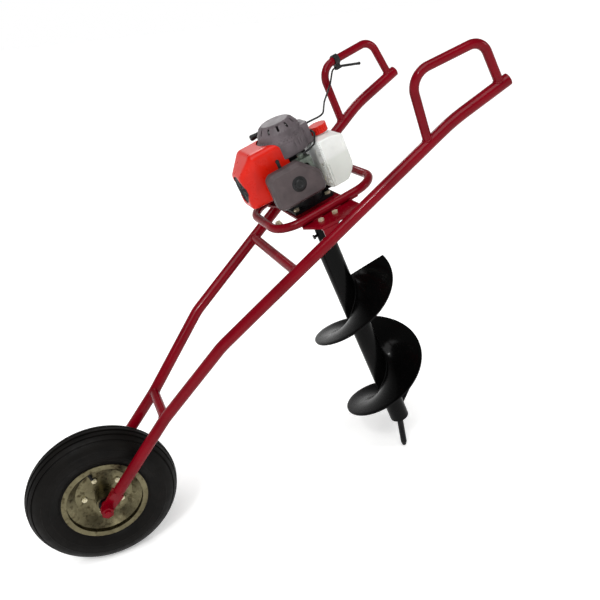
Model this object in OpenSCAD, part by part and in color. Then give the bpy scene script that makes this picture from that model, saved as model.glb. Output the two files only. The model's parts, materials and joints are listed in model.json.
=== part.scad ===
// Earth auger on a one-wheeled barrow frame, in millimetres.
// +X points to the handles at the rear, +Y to the operator's right, +Z up.
// The pieces are drawn in the drill frame: its origin is on the auger axis at the top of the
// base plate, and its Z runs up the auger. parked() leans that frame until the tyre and the
// pilot point both stand on the ground, with the origin at the middle of the footprint.

/* [Wheel] */
// Outside diameter of the tyre
tyre_d = 400; // [390:1:412]
// Width of the tyre
tyre_w = 100; // [96:1:104]
// Thickness of the tyre's carcass
carcass = 9; // [7:0.5:10]
// Diameter of the rim where the beads sit
bead_seat_d = 203; // [196:1:206]
// Height of the rim flange above the bead seat
rim_flange = 11; // [8:0.5:13]
// Distance between the outer faces of the two rim flanges
rim_w = 80; // [76:1:84]
// Sheet thickness of the rim halves
rim_sheet = 2.5; // [2:0.25:3]
// Diameter of the wheel axle
axle_d = 17; // [14:0.5:18]
// Outside diameter of the wheel bearings
wheel_bearing_d = 40; // [36:1:42]
// Width of the wheel bearings
wheel_bearing_w = 12; // [10:0.5:14]
// Length of the wheel hub
hub_l = 110; // [100:1:116]
// Number of bolts that clamp the rim halves
rim_bolt_count = 5; // [4:1:6]

/* [Frame] */
// Diameter of the two arm tubes
arm_d = 30; // [28:0.5:32]
// Wall of the arm tubes
arm_wall = 2; // [1.5:0.25:3]
// Axle ahead of the auger axis
axle_ahead = 857; // [830:1:880]
// Axle below the base plate
axle_drop = 440; // [425:1:455]
// Half the distance between the fork sides
fork_half = 75.5; // [72:0.5:82]
// Fork bend ahead of the auger axis
fork_ahead = 605; // [590:1:620]
// Fork bend below the base plate
fork_drop = 294; // [285:1:303]
// Front arm bend ahead of the auger axis
bend_ahead = 389; // [375:1:400]
// Front arm bend below the base plate
bend_drop = 170; // [164:1:176]
// Half the distance between the arms at the front bend
bend_half = 125; // [118:1:132]
// Rear arm bend behind the auger axis
rear_behind = 327; // [318:1:336]
// Rear arm bend above the base plate
rear_rise = 95; // [90:1:100]
// Half the distance between the arms at the rear bend
rear_half = 240; // [232:1:248]
// Arm ends behind the auger axis
end_behind = 484; // [476:1:495]
// Arm ends above the base plate
end_rise = 124; // [118:1:130]
// Half the distance between the arm ends
end_half = 259; // [252:1:266]
// Diameter of the handle loop tube
loop_d = 22; // [20:0.5:25]
// Wall of the handle loop, ring and cross tubes
tube_wall = 2; // [1.5:0.25:2.5]
// Height of the handle bars above the base plate
loop_top = 238; // [225:1:250]
// Front leg of the handle loop behind the auger axis
loop_front = 258; // [250:1:266]
// Rear leg of the handle loop behind the auger axis
loop_rear = 462; // [450:1:466]
// Diameter of the cross tubes between the arms
cross_d = 26; // [22:0.5:28]
// Middle cross tube ahead of the auger axis
cross_ahead = 143; // [135:1:160]
// Diameter of the mounting ring's tube
ring_d = 22; // [20:0.5:24]
// Ring front ahead of the auger axis
ring_front = 130; // [126:1:140]
// Ring rear behind the auger axis
ring_rear = 156; // [152:1:164]
// Half the width of the ring
ring_half = 120; // [117:1:124]
// Base plate thickness
plate_t = 6; // [5:0.5:8]
// Base plate front edge ahead of the auger axis
plate_front = 62; // [60:1:66]
// Base plate rear edge behind the auger axis
plate_rear = 68; // [66:1:74]
// Gusset sheet thickness
gusset_t = 5; // [4:0.5:6]
// Diameter of the bolts in the base plate
bolt_d = 8; // [6:0.5:9]

/* [Gearbox] */
// Tooth size of all four gears
tooth = 1.25; // [1.2:0.01:1.3]
// Teeth on the two pinions
pinion_teeth = 11; // [11:1:12]
// Teeth on the two large gears
wheel_teeth = 55; // [53:1:56]
// Width of the gears
gear_w = 10; // [8:0.5:12]
// Wall of the gearbox
box_wall = 6; // [4:0.5:7]
// Diameter of the drum and intermediate shafts
small_shaft_d = 10; // [9:0.5:10]
// Diameter of the output shaft
out_shaft_d = 20; // [18:0.5:22]
// Height of the clutch housing
clutch_h = 28; // [26:1:32]
// Outside diameter of the clutch drum
drum_d = 80; // [76:1:84]

/* [Engine] */
// Bore of the cylinder
bore_d = 44; // [40:0.5:45]
// Stroke of the piston
stroke = 32; // [28:1:34]
// Height of the crankcase
case_h = 60; // [58:1:64]
// Diameter of the crankshaft
crank_d = 17; // [15:0.5:18]
// Width of the cooling fins
fin_w = 82; // [76:1:88]
// Height of the fan housing
fan_h = 34; // [32:1:38]
// Outside diameter of the fan and starter housings
fan_d = 124; // [120:1:126]
// Height of the starter housing
starter_h = 48; // [46:1:54]
// Front of the cylinder shroud ahead of the crankshaft
shroud_front = 149; // [148:1:156]
// Width of the cylinder shroud
shroud_w = 112; // [108:1:118]
// Wall of the plastic and sheet covers
cover_wall = 2.2; // [1.8:0.1:2.6]
// Length of the air filter cover
filter_l = 136; // [126:1:140]
// Height of the air filter cover
filter_h = 96; // [88:1:100]
// Depth of the air filter cover
filter_depth = 24; // [20:1:28]
// Front of the fuel tank behind the crankshaft
tank_front = 53; // [52:1:56]
// Rear of the fuel tank behind the crankshaft
tank_rear = 138; // [132:1:142]
// Width of the fuel tank
tank_w = 120; // [112:1:124]
// Fuel cap diameter
cap_d = 46; // [42:1:48]
// Diameter of the throttle cable
cable_d = 5; // [4:0.5:6]

/* [Auger] */
// Outside diameter of the auger pipe
pipe_d = 60; // [56:0.5:63]
// Wall of the auger pipe
pipe_wall = 3.5; // [3:0.25:5]
// Top of the auger pipe below the base plate
pipe_top = 135; // [130:1:140]
// Lower end of the auger pipe below the base plate
pipe_low = 798; // [785:1:810]
// Diameter of the flight
flight_d = 284; // [260:1:300]
// Pitch of the flight
flight_pitch = 282; // [270:1:290]
// Turns of the flight
flight_turns = 1.85; // [1.8:0.01:1.88]
// Thickness of the flight
flight_t = 5; // [4:0.5:6]
// Top of the flight below the base plate
flight_top = 253; // [248:1:258]
// Diameter of the coupling pin
pin_d = 8; // [6:0.5:9]
// Diameter of the pilot point
pilot_d = 20; // [16:0.5:24]
// Length of the pilot point
pilot_l = 122; // [110:1:130]
// Lean of the pilot point from the auger axis
pilot_lean = 11; // [6:0.5:13]

/* [Hidden] */
$fn = 48;

// Clearances
run = 0.05;
fit = 0.15;
gap = 0.3;
through = 1;
lap = 0.4;
swell = 0.05;

// Frame points on the right-hand side
axle_p = [-axle_ahead, fork_half, -axle_drop];
fork_p = [-fork_ahead, fork_half, -fork_drop];
bend_p = [-bend_ahead, bend_half, -bend_drop];
rear_p = [rear_behind, rear_half, rear_rise];
end_p = [end_behind, end_half, end_rise];
flat_l = 55;
eye_r = axle_d / 2 + 9;
eye_t = 6;
arm_start = axle_p + flat_l * unit(fork_p - axle_p);
arm_path = [arm_start, fork_p, bend_p, rear_p, end_p];
arm_bends = [120, 160, 380];
loop_bends = [46, 40];
ring_bend = 68;
web_front = 46;
web_back = 6;
lip_rear = 24;
lip_in = 134;
lug_x = [-30, 10];
lug_y = 146;
lip_out = lug_y + 10;
lug_bolts = [for (x = lug_x, s = [-1, 1]) [x, s * lug_y]];

// Pose on the ground
tip_r = 3;
tip_p = [-pilot_l * sin(pilot_lean), 0, -pipe_low - pilot_l * cos(pilot_lean)];
to_axle = axle_p - tip_p;
reach = norm([to_axle.x, to_axle.z]);
lean = acos((tyre_d / 2 - tip_r) / reach) - atan2(-to_axle.x, to_axle.z);
lift = tyre_d / 2 - axle_p.x * sin(lean) - axle_p.z * cos(lean);
end_dir = unit(end_p - rear_p);
end_slope = end_dir.x * cos(lean) - end_dir.z * sin(lean);
foremost = axle_p.x * cos(lean) - axle_p.z * sin(lean) - tyre_d / 2;
rearmost = end_p.x * cos(lean) - end_p.z * sin(lean) + arm_d / 2 * sqrt(1 - end_slope * end_slope);
shift = -(foremost + rearmost) / 2;

// Wheel
seat_r = bead_seat_d / 2;
bead_root = 1.5;
section_h = (tyre_d / 2 - seat_r + bead_root) / 2;
section_c = tyre_d / 2 - section_h;
bead_w = 13;
bead_h = 14;
groove_w = 5;
groove_deep = 5;
groove_y = 18;
shoulder = 5;
tube_skin = 2.5;
hub_r = wheel_bearing_d / 2 + 5;
hub_flange_t = 6;
hub_flange_r = 68;
rim_disc_r = 76;
rim_bolt_r = 52;
rim_bolt_d = 8;
valve_d = 8;
valve_z = 13;
valve_low = 62;
nut_h = 13;
washer_t = 2.5;

// Gearbox stack, from the base plate up
bearing_w = 8;
small_bearing_d = 26;
out_bearing_d = out_shaft_d + 27;
out_bearing_w = 14;
floor_t = 12;
boss_deep = 42;
boss_wall = 5;
lip_t = 5;
gear_c = tooth * (pinion_teeth + wheel_teeth) / 2 + 0.1;
wheel_tip = tooth * wheel_teeth / 2 + 0.7 * tooth;
box_r = wheel_tip + 4 + box_wall;
out_gear_z = floor_t + 2;
in_gear_z = out_gear_z + gear_w + 5;
pinion_extra = 1;
cover_z = in_gear_z + gear_w + 7;
cover_t = 14;
clutch_z = cover_z + cover_t;
flange_t = 8;
flange_half = 57;
bolt_x = 47;
bolt_low = -box_r + 10;
bolt_high = gear_c + box_r - 10;
gearbox_bolts = [for (x = [-bolt_x, bolt_x], y = [bolt_low, bolt_high]) [x, y]];
hole_d = bolt_d + 2 * fit;
head_h = 0.65 * bolt_d;
head_r = 0.98 * bolt_d;
clutch_r = drum_d / 2 + 8;
clutch_wall = 4;
seat_t = 5;
drum_z = clutch_z + 3;
drum_h = clutch_h - 8;
drum_floor = 3;
drum_wall = 2.5;

// Engine stack, from the clutch housing up
case_z = clutch_z + clutch_h;
cyl_z = case_z + case_h / 2;
case_r = 44;
case_face = 46;
case_w = 72;
pad_y = 46;
case_bearing_d = crank_d + 23;
case_bearing_w = 12;
web_r = 28;
web_t = 9;
chamber_r = web_r + 4;
chamber_h = case_h - 2 * case_bearing_w;
crank_r = stroke / 2;
crank_pin_r = 7;
fan_z = case_z + case_h;
fan_r = fan_d / 2;
starter_z = fan_z + fan_h;
head_in = 96;
head_t = 8;
head_x = head_in + head_t;
piston_l = 32;
piston_rest = head_in - 2.5 - crank_r;
fin_t = 2.2;
fin_count = 7;
fin_z = 80;
barrel_wall = 5;
flange_x = 6;
port_x = 76;
port_r = 9;
plug_r = 7;
plug_hex_l = 9;
carb_x = 6;
block_t = 10;
block_w = 36;
carb_l = 30;
carb_w = 40;
carb_y = pad_y + block_t;
base_y = carb_y + carb_l;
base_t = 6;
filter_x = -36;
filter_z = cyl_z - 20;
carb_mid = carb_y + carb_l / 2;
filter_round = 18;
filter_cut = 36;
choke_x = -20;
choke_z = filter_h / 2 - 10;
choke_pin = 2.5;
throttle_d = 16;
carb_top = cyl_z + 20;
shroud_round = 16;
shroud_low = case_z - 28;
shroud_high = starter_z + 14;
shroud_brow = 34;
shroud_rear = 18;
outlet_r = 36;
window_w = 70;
muffler_in = fin_w / 2 + 2;
muffler_l = 66;
muffler_h = 58;
muffler_t = 42;
tank_round = 12;
shelf_t = 4;
shelf_l = 58;
shelf_w = 68;
shelf_legs = [-20, 16];
leg_w = 12;
leg_l = 10;
shelf_z = flange_t + 10;
tank_low = shelf_z + shelf_t + gap;
tank_top = fan_z - 1;
tank_wall = 2.5;
neck_r = 17;
neck_h = 11;
hose_y = 40;
hose_low = 46;
hose_r = 3.5;
hose_wall = 1.5;
nipple_r = hose_r - hose_wall - fit;
nipple_l = 7;
bowl_r = 13;
bowl_drop = 14;
bowl_low = cyl_z - carb_w / 2 - bowl_drop;
hose_bends = [28, 28];
cap_x = 100;
cap_h = 20;
cap_lift = 4;
shell = cover_wall + 0.4;
post_r = 7;
reel_r = 32;
reel_h = 12;
reel_z = starter_z + 12;
rope_r = 1.8;
rope_x = 3 - reel_r;
eyelet_r = 6;
grip_seat = sqrt(fan_r * fan_r - rope_x * rope_x) + 4;
pocket_in = 20;
pocket_out = fan_r + 6;
pocket_y = -6;
pocket_w = 60;
pocket_h = 18;
pocket_round = 8;

// Auger
sleeve_r = out_shaft_d / 2 + 4.5;
sleeve_top = 70;
shaft_low = 128;
pin_z = -97;
flight_steps = 48;
flight_arc = 360 * flight_turns;
weld_r = pipe_d / 2 / cos(180 / flight_steps);
blade_arc = 16;

// Throttle
loop_lean = 10;
bar_a = loop_path(1)[1];
bar_b = loop_path(1)[2];
bar_yaw = atan2(bar_b.y - bar_a.y, bar_b.x - bar_a.x);
clamp_at = 54;
clamp_p = bar_a + clamp_at * unit(bar_b - bar_a);
clamp_w = 16;
clamp_wall = 4;
clamp_half = 6;
pivot_drop = 20;
lever_droop = 18;
lever_t = 4;
lever_pin = 2.5;

// Cable route from the clamp to the carburettor
cable_route = [
    [loop_front, 212, loop_top - 46], [198, 150, fan_z + 24], [150, 66, fan_z + 18],
    [cap_x - 8, cap_d / 2 + 23, fan_z + 26], [cap_x - 27, 6, fan_z + 26],
    [cap_x - 25, -34, fan_z + 18], [tank_front - 1, 3 - carb_mid, carb_top + 12]
];
cable_bends = [20, 30, 60, 60, 25, 25, 20, 20];
cable_lead = 10;

// Vector helpers
function unit(v) = v / norm(v);
function mid_y(p, s) = [p.x, s * p.y, p.z];
function sided(path, s) = [for (p = path) mid_y(p, s)];
function on_line(a, b, x) = a + (b - a) * (x - a.x) / (b.x - a.x);
function arm_at(x) = on_line(bend_p, rear_p, x);
function turn_of(a, b, c) = acos(unit(b - a) * unit(c - b));
function cut_back(path, bends, i) =
    i == 0 || i == len(path) - 1 ? 0
    : bends[i - 1] * tan(turn_of(path[i - 1], path[i], path[i + 1]) / 2);

// Stand the drill frame on the ground
module parked() {
    translate([shift, 0, lift]) rotate([0, -lean, 0]) children();
}

// Point local Z along a direction
module aim(p, d) {
    translate(p) rotate([0, acos(d.z / norm(d)), atan2(d.y, d.x)]) children();
}

// One bend of a round bar, around the corner b between a and c
module elbow(a, b, c, bend, r) {
    u = unit(b - a);
    v = unit(c - b);
    turn = acos(u * v);
    inward = unit(v - (u * v) * u);
    start = b - u * bend * tan(turn / 2);
    centre = start + inward * bend;
    side = cross(-inward, u);
    multmatrix([
        [-inward.x, u.x, side.x, centre.x],
        [-inward.y, u.y, side.y, centre.y],
        [-inward.z, u.z, side.z, centre.z],
        [0, 0, 0, 1]
    ]) rotate_extrude(angle = turn) translate([bend, 0]) circle(r);
}

// A round bar bent along a path, with its ends grown for cutting.
// The bends swell by a hair, and the straight runs lap into them.
module bent_rod(path, bends, r, grow_a = 0, grow_b = 0) {
    last = len(path) - 1;
    for (i = [0:last - 1]) {
        u = unit(path[i + 1] - path[i]);
        start = path[i] + u * (cut_back(path, bends, i) - (i == 0 ? grow_a : lap));
        stop = path[i + 1] - u * (cut_back(path, bends, i + 1) - (i == last - 1 ? grow_b : lap));
        aim(start, u) cylinder(r = r, h = norm(stop - start));
    }
    for (i = [1:1:last - 1]) elbow(path[i - 1], path[i], path[i + 1], bends[i - 1], r + swell);
}

module bent_tube(path, bends, r, wall) {
    difference() {
        bent_rod(path, bends, r);
        bent_rod(path, bends, r - wall, through, through);
    }
}

module sleeve(r_out, r_in, h) {
    difference() {
        cylinder(r = r_out, h = h);
        translate([0, 0, -through]) cylinder(r = r_in, h = h + 2 * through);
    }
}

module hex(r, h) {
    cylinder(r = r, h = h, $fn = 6);
}

// A slot shape between the main axis and the intermediate axis
module slot(r) {
    circle(r);
    translate([-r, 0]) square([2 * r, gear_c]);
    translate([0, gear_c]) circle(r);
}

module round_square(w, h, r) {
    translate([-w / 2 + r, -h / 2]) square([w - 2 * r, h]);
    translate([-w / 2, -h / 2 + r]) square([w, h - 2 * r]);
    for (x = [-1, 1], y = [-1, 1]) translate([x * (w / 2 - r), y * (h / 2 - r)]) circle(r);
}

// Frame
module solid_arm(s) {
    bent_rod(sided(arm_path, s), arm_bends, arm_d / 2);
}

module arm(s) {
    path = sided(arm_path, s);
    color("#8a1028") parked() difference() {
        union() {
            bent_rod(path, arm_bends, arm_d / 2);
            flat_end(s);
        }
        bent_rod(path, arm_bends, arm_d / 2 - arm_wall, 0, through);
        translate([axle_p.x, s * axle_p.y, axle_p.z]) rotate([90, 0, 0])
            cylinder(d = axle_d + 2 * fit, h = arm_d, center = true);
    }
}

// The tube pressed flat towards the axle: a rounded strip, thinned from tube to eye
module flat_end(s) {
    pitch = atan2(fork_p.z - axle_p.z, fork_p.x - axle_p.x);
    long = flat_l + 1;
    translate([axle_p.x, s * axle_p.y, axle_p.z]) rotate([0, -pitch, 0]) intersection() {
        rotate([90, 0, 0]) linear_extrude(arm_d, center = true) {
            circle(eye_r);
            polygon([[0, -eye_r], [long, -arm_d / 2], [long, arm_d / 2], [0, eye_r]]);
        }
        translate([0, 0, -arm_d]) linear_extrude(2 * arm_d) polygon([
            [-eye_r, -eye_t / 2], [eye_r, -eye_t / 2], [long, 2 - arm_d / 2], [long, arm_d / 2 - 2],
            [eye_r, eye_t / 2], [-eye_r, eye_t / 2]
        ]);
    }
}

module left_arm() {
    arm(-1);
}

module right_arm() {
    arm(1);
}

module cross_tube(p) {
    color("#8a1028") parked() difference() {
        translate(mid_y(p, -1)) rotate([-90, 0, 0]) cylinder(d = cross_d, h = 2 * p.y);
        translate(mid_y(p, -1) - [0, through, 0]) rotate([-90, 0, 0])
            cylinder(d = cross_d - 2 * tube_wall, h = 2 * p.y + 2 * through);
        solid_arm(1);
        solid_arm(-1);
    }
}

module fork_bridge() {
    cross_tube(fork_p);
}

module middle_cross_tube() {
    cross_tube(arm_at(-cross_ahead));
}

module mounting_ring() {
    z = ring_d / 2;
    path = [
        [-ring_front, 0, z], [-ring_front, -ring_half, z], [ring_rear, -ring_half, z],
        [ring_rear, ring_half, z], [-ring_front, ring_half, z], [-ring_front, 0, z]
    ];
    bends = [ring_bend, ring_bend, ring_bend, ring_bend];
    color("#8a1028") parked() difference() {
        bent_rod(path, bends, ring_d / 2);
        bent_rod(path, bends, ring_d / 2 - tube_wall);
        // Drain hole under the front run
        translate([-ring_front, 0, -through]) cylinder(d = 5, h = z);
    }
}

// Plan outline of the base plate, out to the arms' centre lines
module plate_outline() {
    nose = arm_at(-web_front);
    tail = arm_at(plate_rear);
    ear = [-plate_front - 14, ring_half + 6];
    half = [[-plate_front, 0.7 * ring_half], ear, [nose.x, nose.y], [tail.x, tail.y]];
    polygon(concat(half, [for (i = [3:-1:0]) [half[i].x, -half[i].y]]));
}

module base_plate() {
    color("#8a1028") parked() difference() {
        translate([0, 0, -plate_t]) linear_extrude(plate_t) plate_outline();
        solid_arm(1);
        solid_arm(-1);
        translate([0, 0, -plate_t - through])
            cylinder(r = out_bearing_d / 2 + boss_wall + gap, h = plate_t + 2 * through);
        for (p = concat(gearbox_bolts, lug_bolts)) translate([p.x, p.y, -plate_t - through])
            cylinder(d = hole_d, h = plate_t + 2 * through);
    }
}

// Angle brackets that carry the plate on the arms
module gusset(s) {
    root = plate_t + gusset_t / 2;
    nose = mid_y(arm_at(-web_front), s);
    tail = mid_y(arm_at(-web_back), s);
    along = atan2(tail.y - nose.y, tail.x - nose.x);
    length = norm([tail.x - nose.x, tail.y - nose.y]);
    difference() {
        union() {
            translate([nose.x, nose.y, 0]) rotate([0, 0, along]) rotate([90, 0, 0])
                linear_extrude(gusset_t, center = true) polygon([
                    [0, nose.z], [length, tail.z], [length, -root], [0, -root]
                ]);
            translate([0, 0, -plate_t - gusset_t]) linear_extrude(gusset_t) polygon([
                [nose.x, s * lip_in], [lip_rear, s * lip_in], [lip_rear, s * lip_out],
                [tail.x, tail.y], [nose.x, nose.y]
            ]);
        }
        solid_arm(s);
        for (x = lug_x) translate([x, s * lug_y, -plate_t - gusset_t - through])
            cylinder(d = hole_d, h = gusset_t + 2 * through);
    }
}

module gussets() {
    color("#8a1028") parked() for (s = [-1, 1]) gusset(s);
}

function loop_path(s) = let (
    foot = arm_at(loop_front),
    heel = on_line(rear_p, end_p, loop_rear)
) sided([
    foot,
    [loop_front - 1, foot.y + loop_lean, loop_top],
    [loop_rear - 22, heel.y + loop_lean / 2, loop_top],
    heel
], s);

module handle_loop(s) {
    color("#8a1028") parked() difference() {
        bent_tube(loop_path(s), loop_bends, loop_d / 2, tube_wall);
        solid_arm(s);
    }
}

module left_handle_loop() {
    handle_loop(-1);
}

module right_handle_loop() {
    handle_loop(1);
}

// A bolt from above through a stack, with its nut below
module bolt_and_nut(p, top, low) {
    translate([p.x, p.y, low - head_h - 3]) cylinder(d = bolt_d, h = top - low + head_h + 3);
    translate([p.x, p.y, top]) hex(head_r, head_h);
    translate([p.x, p.y, low - head_h]) difference() {
        hex(head_r, head_h);
        translate([0, 0, -through]) cylinder(d = bolt_d, h = head_h + 2 * through);
    }
}

module base_bolts() {
    color("#c9c3a8") parked() {
        for (p = gearbox_bolts) bolt_and_nut(p, flange_t, -plate_t);
        for (p = lug_bolts) bolt_and_nut(p, 0, -plate_t - gusset_t);
    }
}

// Wheel: local Z points to the operator's left
module at_wheel() {
    parked() translate([axle_p.x, 0, axle_p.z]) rotate([90, 0, 0]) children();
}

// The same drawing on both sides of the wheel
module both_sides() {
    children();
    mirror([0, 0, 1]) children();
}

module axle() {
    h = 2 * (fork_half + eye_t / 2 + washer_t + nut_h + 4);
    color("#9a9a94") at_wheel() cylinder(d = axle_d, h = h, center = true);
}

// Nuts and washers outside the fork, spacers between fork and hub
module axle_hardware() {
    face = fork_half + eye_t / 2;
    spacer_l = fork_half - eye_t / 2 - hub_l / 2 - gap;
    color("#a8a69a") at_wheel() both_sides() {
        translate([0, 0, hub_l / 2 + gap]) sleeve(axle_d / 2 + 4, axle_d / 2, spacer_l);
        translate([0, 0, face]) sleeve(axle_d / 2 + 8, axle_d / 2, washer_t);
        translate([0, 0, face + washer_t]) difference() {
            hex(axle_d * 0.95, nut_h);
            translate([0, 0, -through]) cylinder(d = axle_d, h = nut_h + 2 * through);
        }
    }
}

module wheel_hub() {
    color("#7e7e74") at_wheel() difference() {
        union() {
            cylinder(r = hub_r, h = hub_l, center = true);
            cylinder(r = hub_flange_r, h = hub_flange_t, center = true);
        }
        cylinder(r = wheel_bearing_d / 2 - 3, h = hub_l + 2 * through, center = true);
        both_sides() translate([0, 0, hub_l / 2 - wheel_bearing_w])
            cylinder(d = wheel_bearing_d, h = wheel_bearing_w + through);
        rim_bolt_holes();
    }
}

module rim_bolt_holes() {
    for (i = [0:rim_bolt_count - 1]) rotate([0, 0, 360 / rim_bolt_count * (i + 0.25)])
        translate([rim_bolt_r, 0, 0])
            cylinder(d = rim_bolt_d + 2 * fit, h = rim_w, center = true);
}

module wheel_bearings() {
    color("#b8b8b8") at_wheel() both_sides() translate([0, 0, hub_l / 2 - wheel_bearing_w])
        sleeve(wheel_bearing_d / 2, axle_d / 2 + run, wheel_bearing_w);
}

// Pressed section of one rim half: disc, cone, bead seat and flange
module rim_section() {
    t = rim_sheet;
    z0 = hub_flange_t / 2;
    cone_z = rim_w / 2 - t - bead_w;
    edge_z = rim_w / 2;
    polygon([
        [hub_r + fit, z0], [rim_disc_r, z0], [seat_r, cone_z], [seat_r, edge_z - t],
        [seat_r + rim_flange, edge_z - t], [seat_r + rim_flange, edge_z], [seat_r - t, edge_z],
        [seat_r - t, cone_z + t / 2], [rim_disc_r - t / 2, z0 + t], [hub_r + fit, z0 + t]
    ]);
}

module rim_half() {
    difference() {
        rotate_extrude($fn = 96) rim_section();
        rim_bolt_holes();
    }
}

module rim_left() {
    color("#8a8a78") at_wheel() difference() {
        rim_half();
        translate([0, valve_low, valve_z]) rotate([-90, 0, 0])
            cylinder(d = valve_d + 2 * gap, h = seat_r - valve_low);
    }
}

module rim_right() {
    color("#8a8a78") at_wheel() mirror([0, 0, 1]) rim_half();
}

module rim_bolts() {
    face = hub_flange_t / 2 + rim_sheet;
    h = 0.65 * rim_bolt_d;
    color("#c9c3a8") at_wheel() for (i = [0:rim_bolt_count - 1])
        rotate([0, 0, 360 / rim_bolt_count * (i + 0.25)]) translate([rim_bolt_r, 0, 0]) {
            cylinder(d = rim_bolt_d, h = 2 * (face + h + 2), center = true);
            both_sides() translate([0, 0, face]) difference() {
                hex(rim_bolt_d * 0.95, h);
                translate([0, 0, -through]) cylinder(d = rim_bolt_d, h = h + 2 * through);
            }
        }
}

// Oval section of the tyre, drawn smaller for its inside and for the tube
module tyre_section(inset) {
    half = tyre_w / 2 - inset;
    translate([section_c, 0]) scale([(section_h - inset) / half, 1]) circle(half);
}

module tyre() {
    bead_out = rim_w / 2 - rim_sheet - fit;
    color("#141414") at_wheel() rotate_extrude($fn = 96) difference() {
        union() {
            tyre_section(0);
            for (s = [-1, 1]) translate([seat_r + fit, s > 0 ? bead_out - bead_w : -bead_out])
                square([bead_h, bead_w]);
        }
        tyre_section(carcass);
        translate([0, bead_w - bead_out]) square([section_c, 2 * (bead_out - bead_w)]);
        translate([0, -tyre_w]) square([seat_r + fit, 2 * tyre_w]);
        for (s = [-1, 0, 1])
            translate([tyre_d / 2 - groove_deep - abs(s) * shoulder, s * groove_y - groove_w / 2])
                square([4 * groove_deep, groove_w]);
    }
}

module inner_tube() {
    inset = carcass + gap;
    stem_top = section_c - section_h + inset + tube_skin;
    color("#202020") at_wheel() difference() {
        union() {
            rotate_extrude($fn = 96) tyre_section(inset);
            translate([0, valve_low, valve_z]) rotate([-90, 0, 0])
                cylinder(d = valve_d, h = stem_top - valve_low);
        }
        rotate_extrude($fn = 96) tyre_section(inset + tube_skin);
        translate([0, valve_low - through, valve_z]) rotate([-90, 0, 0])
            cylinder(d = 3, h = stem_top + 2 * tube_skin - valve_low);
    }
}

// Gears
function roll(r, base) = r > base ? sqrt(r * r / base / base - 1) : 0;
function involute(t) = t * 180 / PI - atan(t);
function flank(n, r) = let (
    pitch_r = tooth * n / 2,
    base = pitch_r * cos(20),
    half = (PI * tooth / 2 - 0.2) / 2 / pitch_r * 180 / PI
) half + involute(roll(pitch_r, base)) - involute(roll(r, base));
function at_angle(r, a) = [r * cos(a), r * sin(a)];
function gear_points(n) = let (
    pitch_r = tooth * n / 2,
    low = pitch_r - 1.15 * tooth,
    high = pitch_r + 0.7 * tooth,
    base = max(low, pitch_r * cos(20)),
    radii = [low, base, (base + high) / 2, high]
) [
    for (k = [0:n - 1], i = [0:7]) let (
        j = i < 4 ? i : 7 - i,
        side = i < 4 ? -1 : 1
    ) at_angle(radii[j], 360 * k / n + side * flank(n, radii[j]))
];

module gear(n, h) {
    linear_extrude(h) polygon(gear_points(n));
}

module small_bearing() {
    sleeve(small_bearing_d / 2, small_shaft_d / 2 + run, bearing_w);
}

module gearbox_housing() {
    boss_r = out_bearing_d / 2 + boss_wall;
    color("#1b1b1d") parked() difference() {
        union() {
            linear_extrude(cover_z) slot(box_r);
            translate([-flange_half, -box_r, 0])
                cube([2 * flange_half, 2 * box_r + gear_c, flange_t]);
            translate([0, 0, -boss_deep]) cylinder(r = boss_r, h = boss_deep + through);
        }
        translate([0, 0, floor_t]) linear_extrude(cover_z) slot(box_r - box_wall);
        translate([0, 0, lip_t - boss_deep]) cylinder(d = out_bearing_d, h = boss_deep + floor_t);
        translate([0, 0, -boss_deep - through])
            cylinder(d = out_shaft_d + 2 * gap, h = boss_deep);
        translate([0, gear_c, floor_t - bearing_w]) cylinder(d = small_bearing_d, h = floor_t);
        for (p = gearbox_bolts) translate([p.x, p.y, -through])
            cylinder(d = hole_d, h = flange_t + 2 * through);
    }
}

module gearbox_cover() {
    color("#242426") parked() translate([0, 0, cover_z]) difference() {
        union() {
            linear_extrude(cover_t) slot(box_r);
            translate([0, 0, cover_t - seat_t]) cylinder(r = clutch_r, h = seat_t);
        }
        for (y = [0, gear_c]) translate([0, y, -through])
            cylinder(d = small_bearing_d, h = bearing_w + through);
        cylinder(d = small_shaft_d + 2 * gap, h = cover_t + through);
    }
}

module clutch_housing() {
    color("#1f1f21") parked() translate([0, 0, clutch_z])
        sleeve(clutch_r, clutch_r - clutch_wall, clutch_h);
}

module clutch_drum() {
    low = in_gear_z - pinion_extra;
    color("#7d7f82") parked() {
        difference() {
            translate([0, 0, drum_z]) cylinder(d = drum_d, h = drum_h);
            translate([0, 0, drum_z + drum_floor]) cylinder(r = drum_d / 2 - drum_wall, h = drum_h);
        }
        translate([0, 0, low]) cylinder(d = small_shaft_d, h = drum_z - low + through);
        translate([0, 0, low]) rotate([0, 0, 90]) gear(pinion_teeth, gear_w + 2 * pinion_extra);
    }
}

module clutch_shoes() {
    z = drum_z + drum_floor + 3;
    h = drum_h - drum_floor - 4;
    shoe_r = drum_d / 2 - drum_wall - 0.7;
    hub = crank_d / 2 + 5;
    color("#6b5d4a") parked() translate([0, 0, z]) difference() {
        union() {
            cylinder(r = hub, h = h);
            intersection() {
                sleeve(shoe_r, hub + 6, h);
                translate([-drum_d, -shoe_r * 0.8, 0]) cube([2 * drum_d, shoe_r * 1.6, h]);
            }
            translate([-hub - 8, -5, 0]) cube([2 * hub + 16, 10, h]);
        }
        translate([0, 0, -through]) cylinder(d = crank_d, h = h + 2 * through);
        for (a = [0, 180]) rotate([0, 0, a]) translate([0, shoe_r * 0.85, -through])
            cylinder(d = 3, h = h + 2 * through);
    }
}

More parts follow.
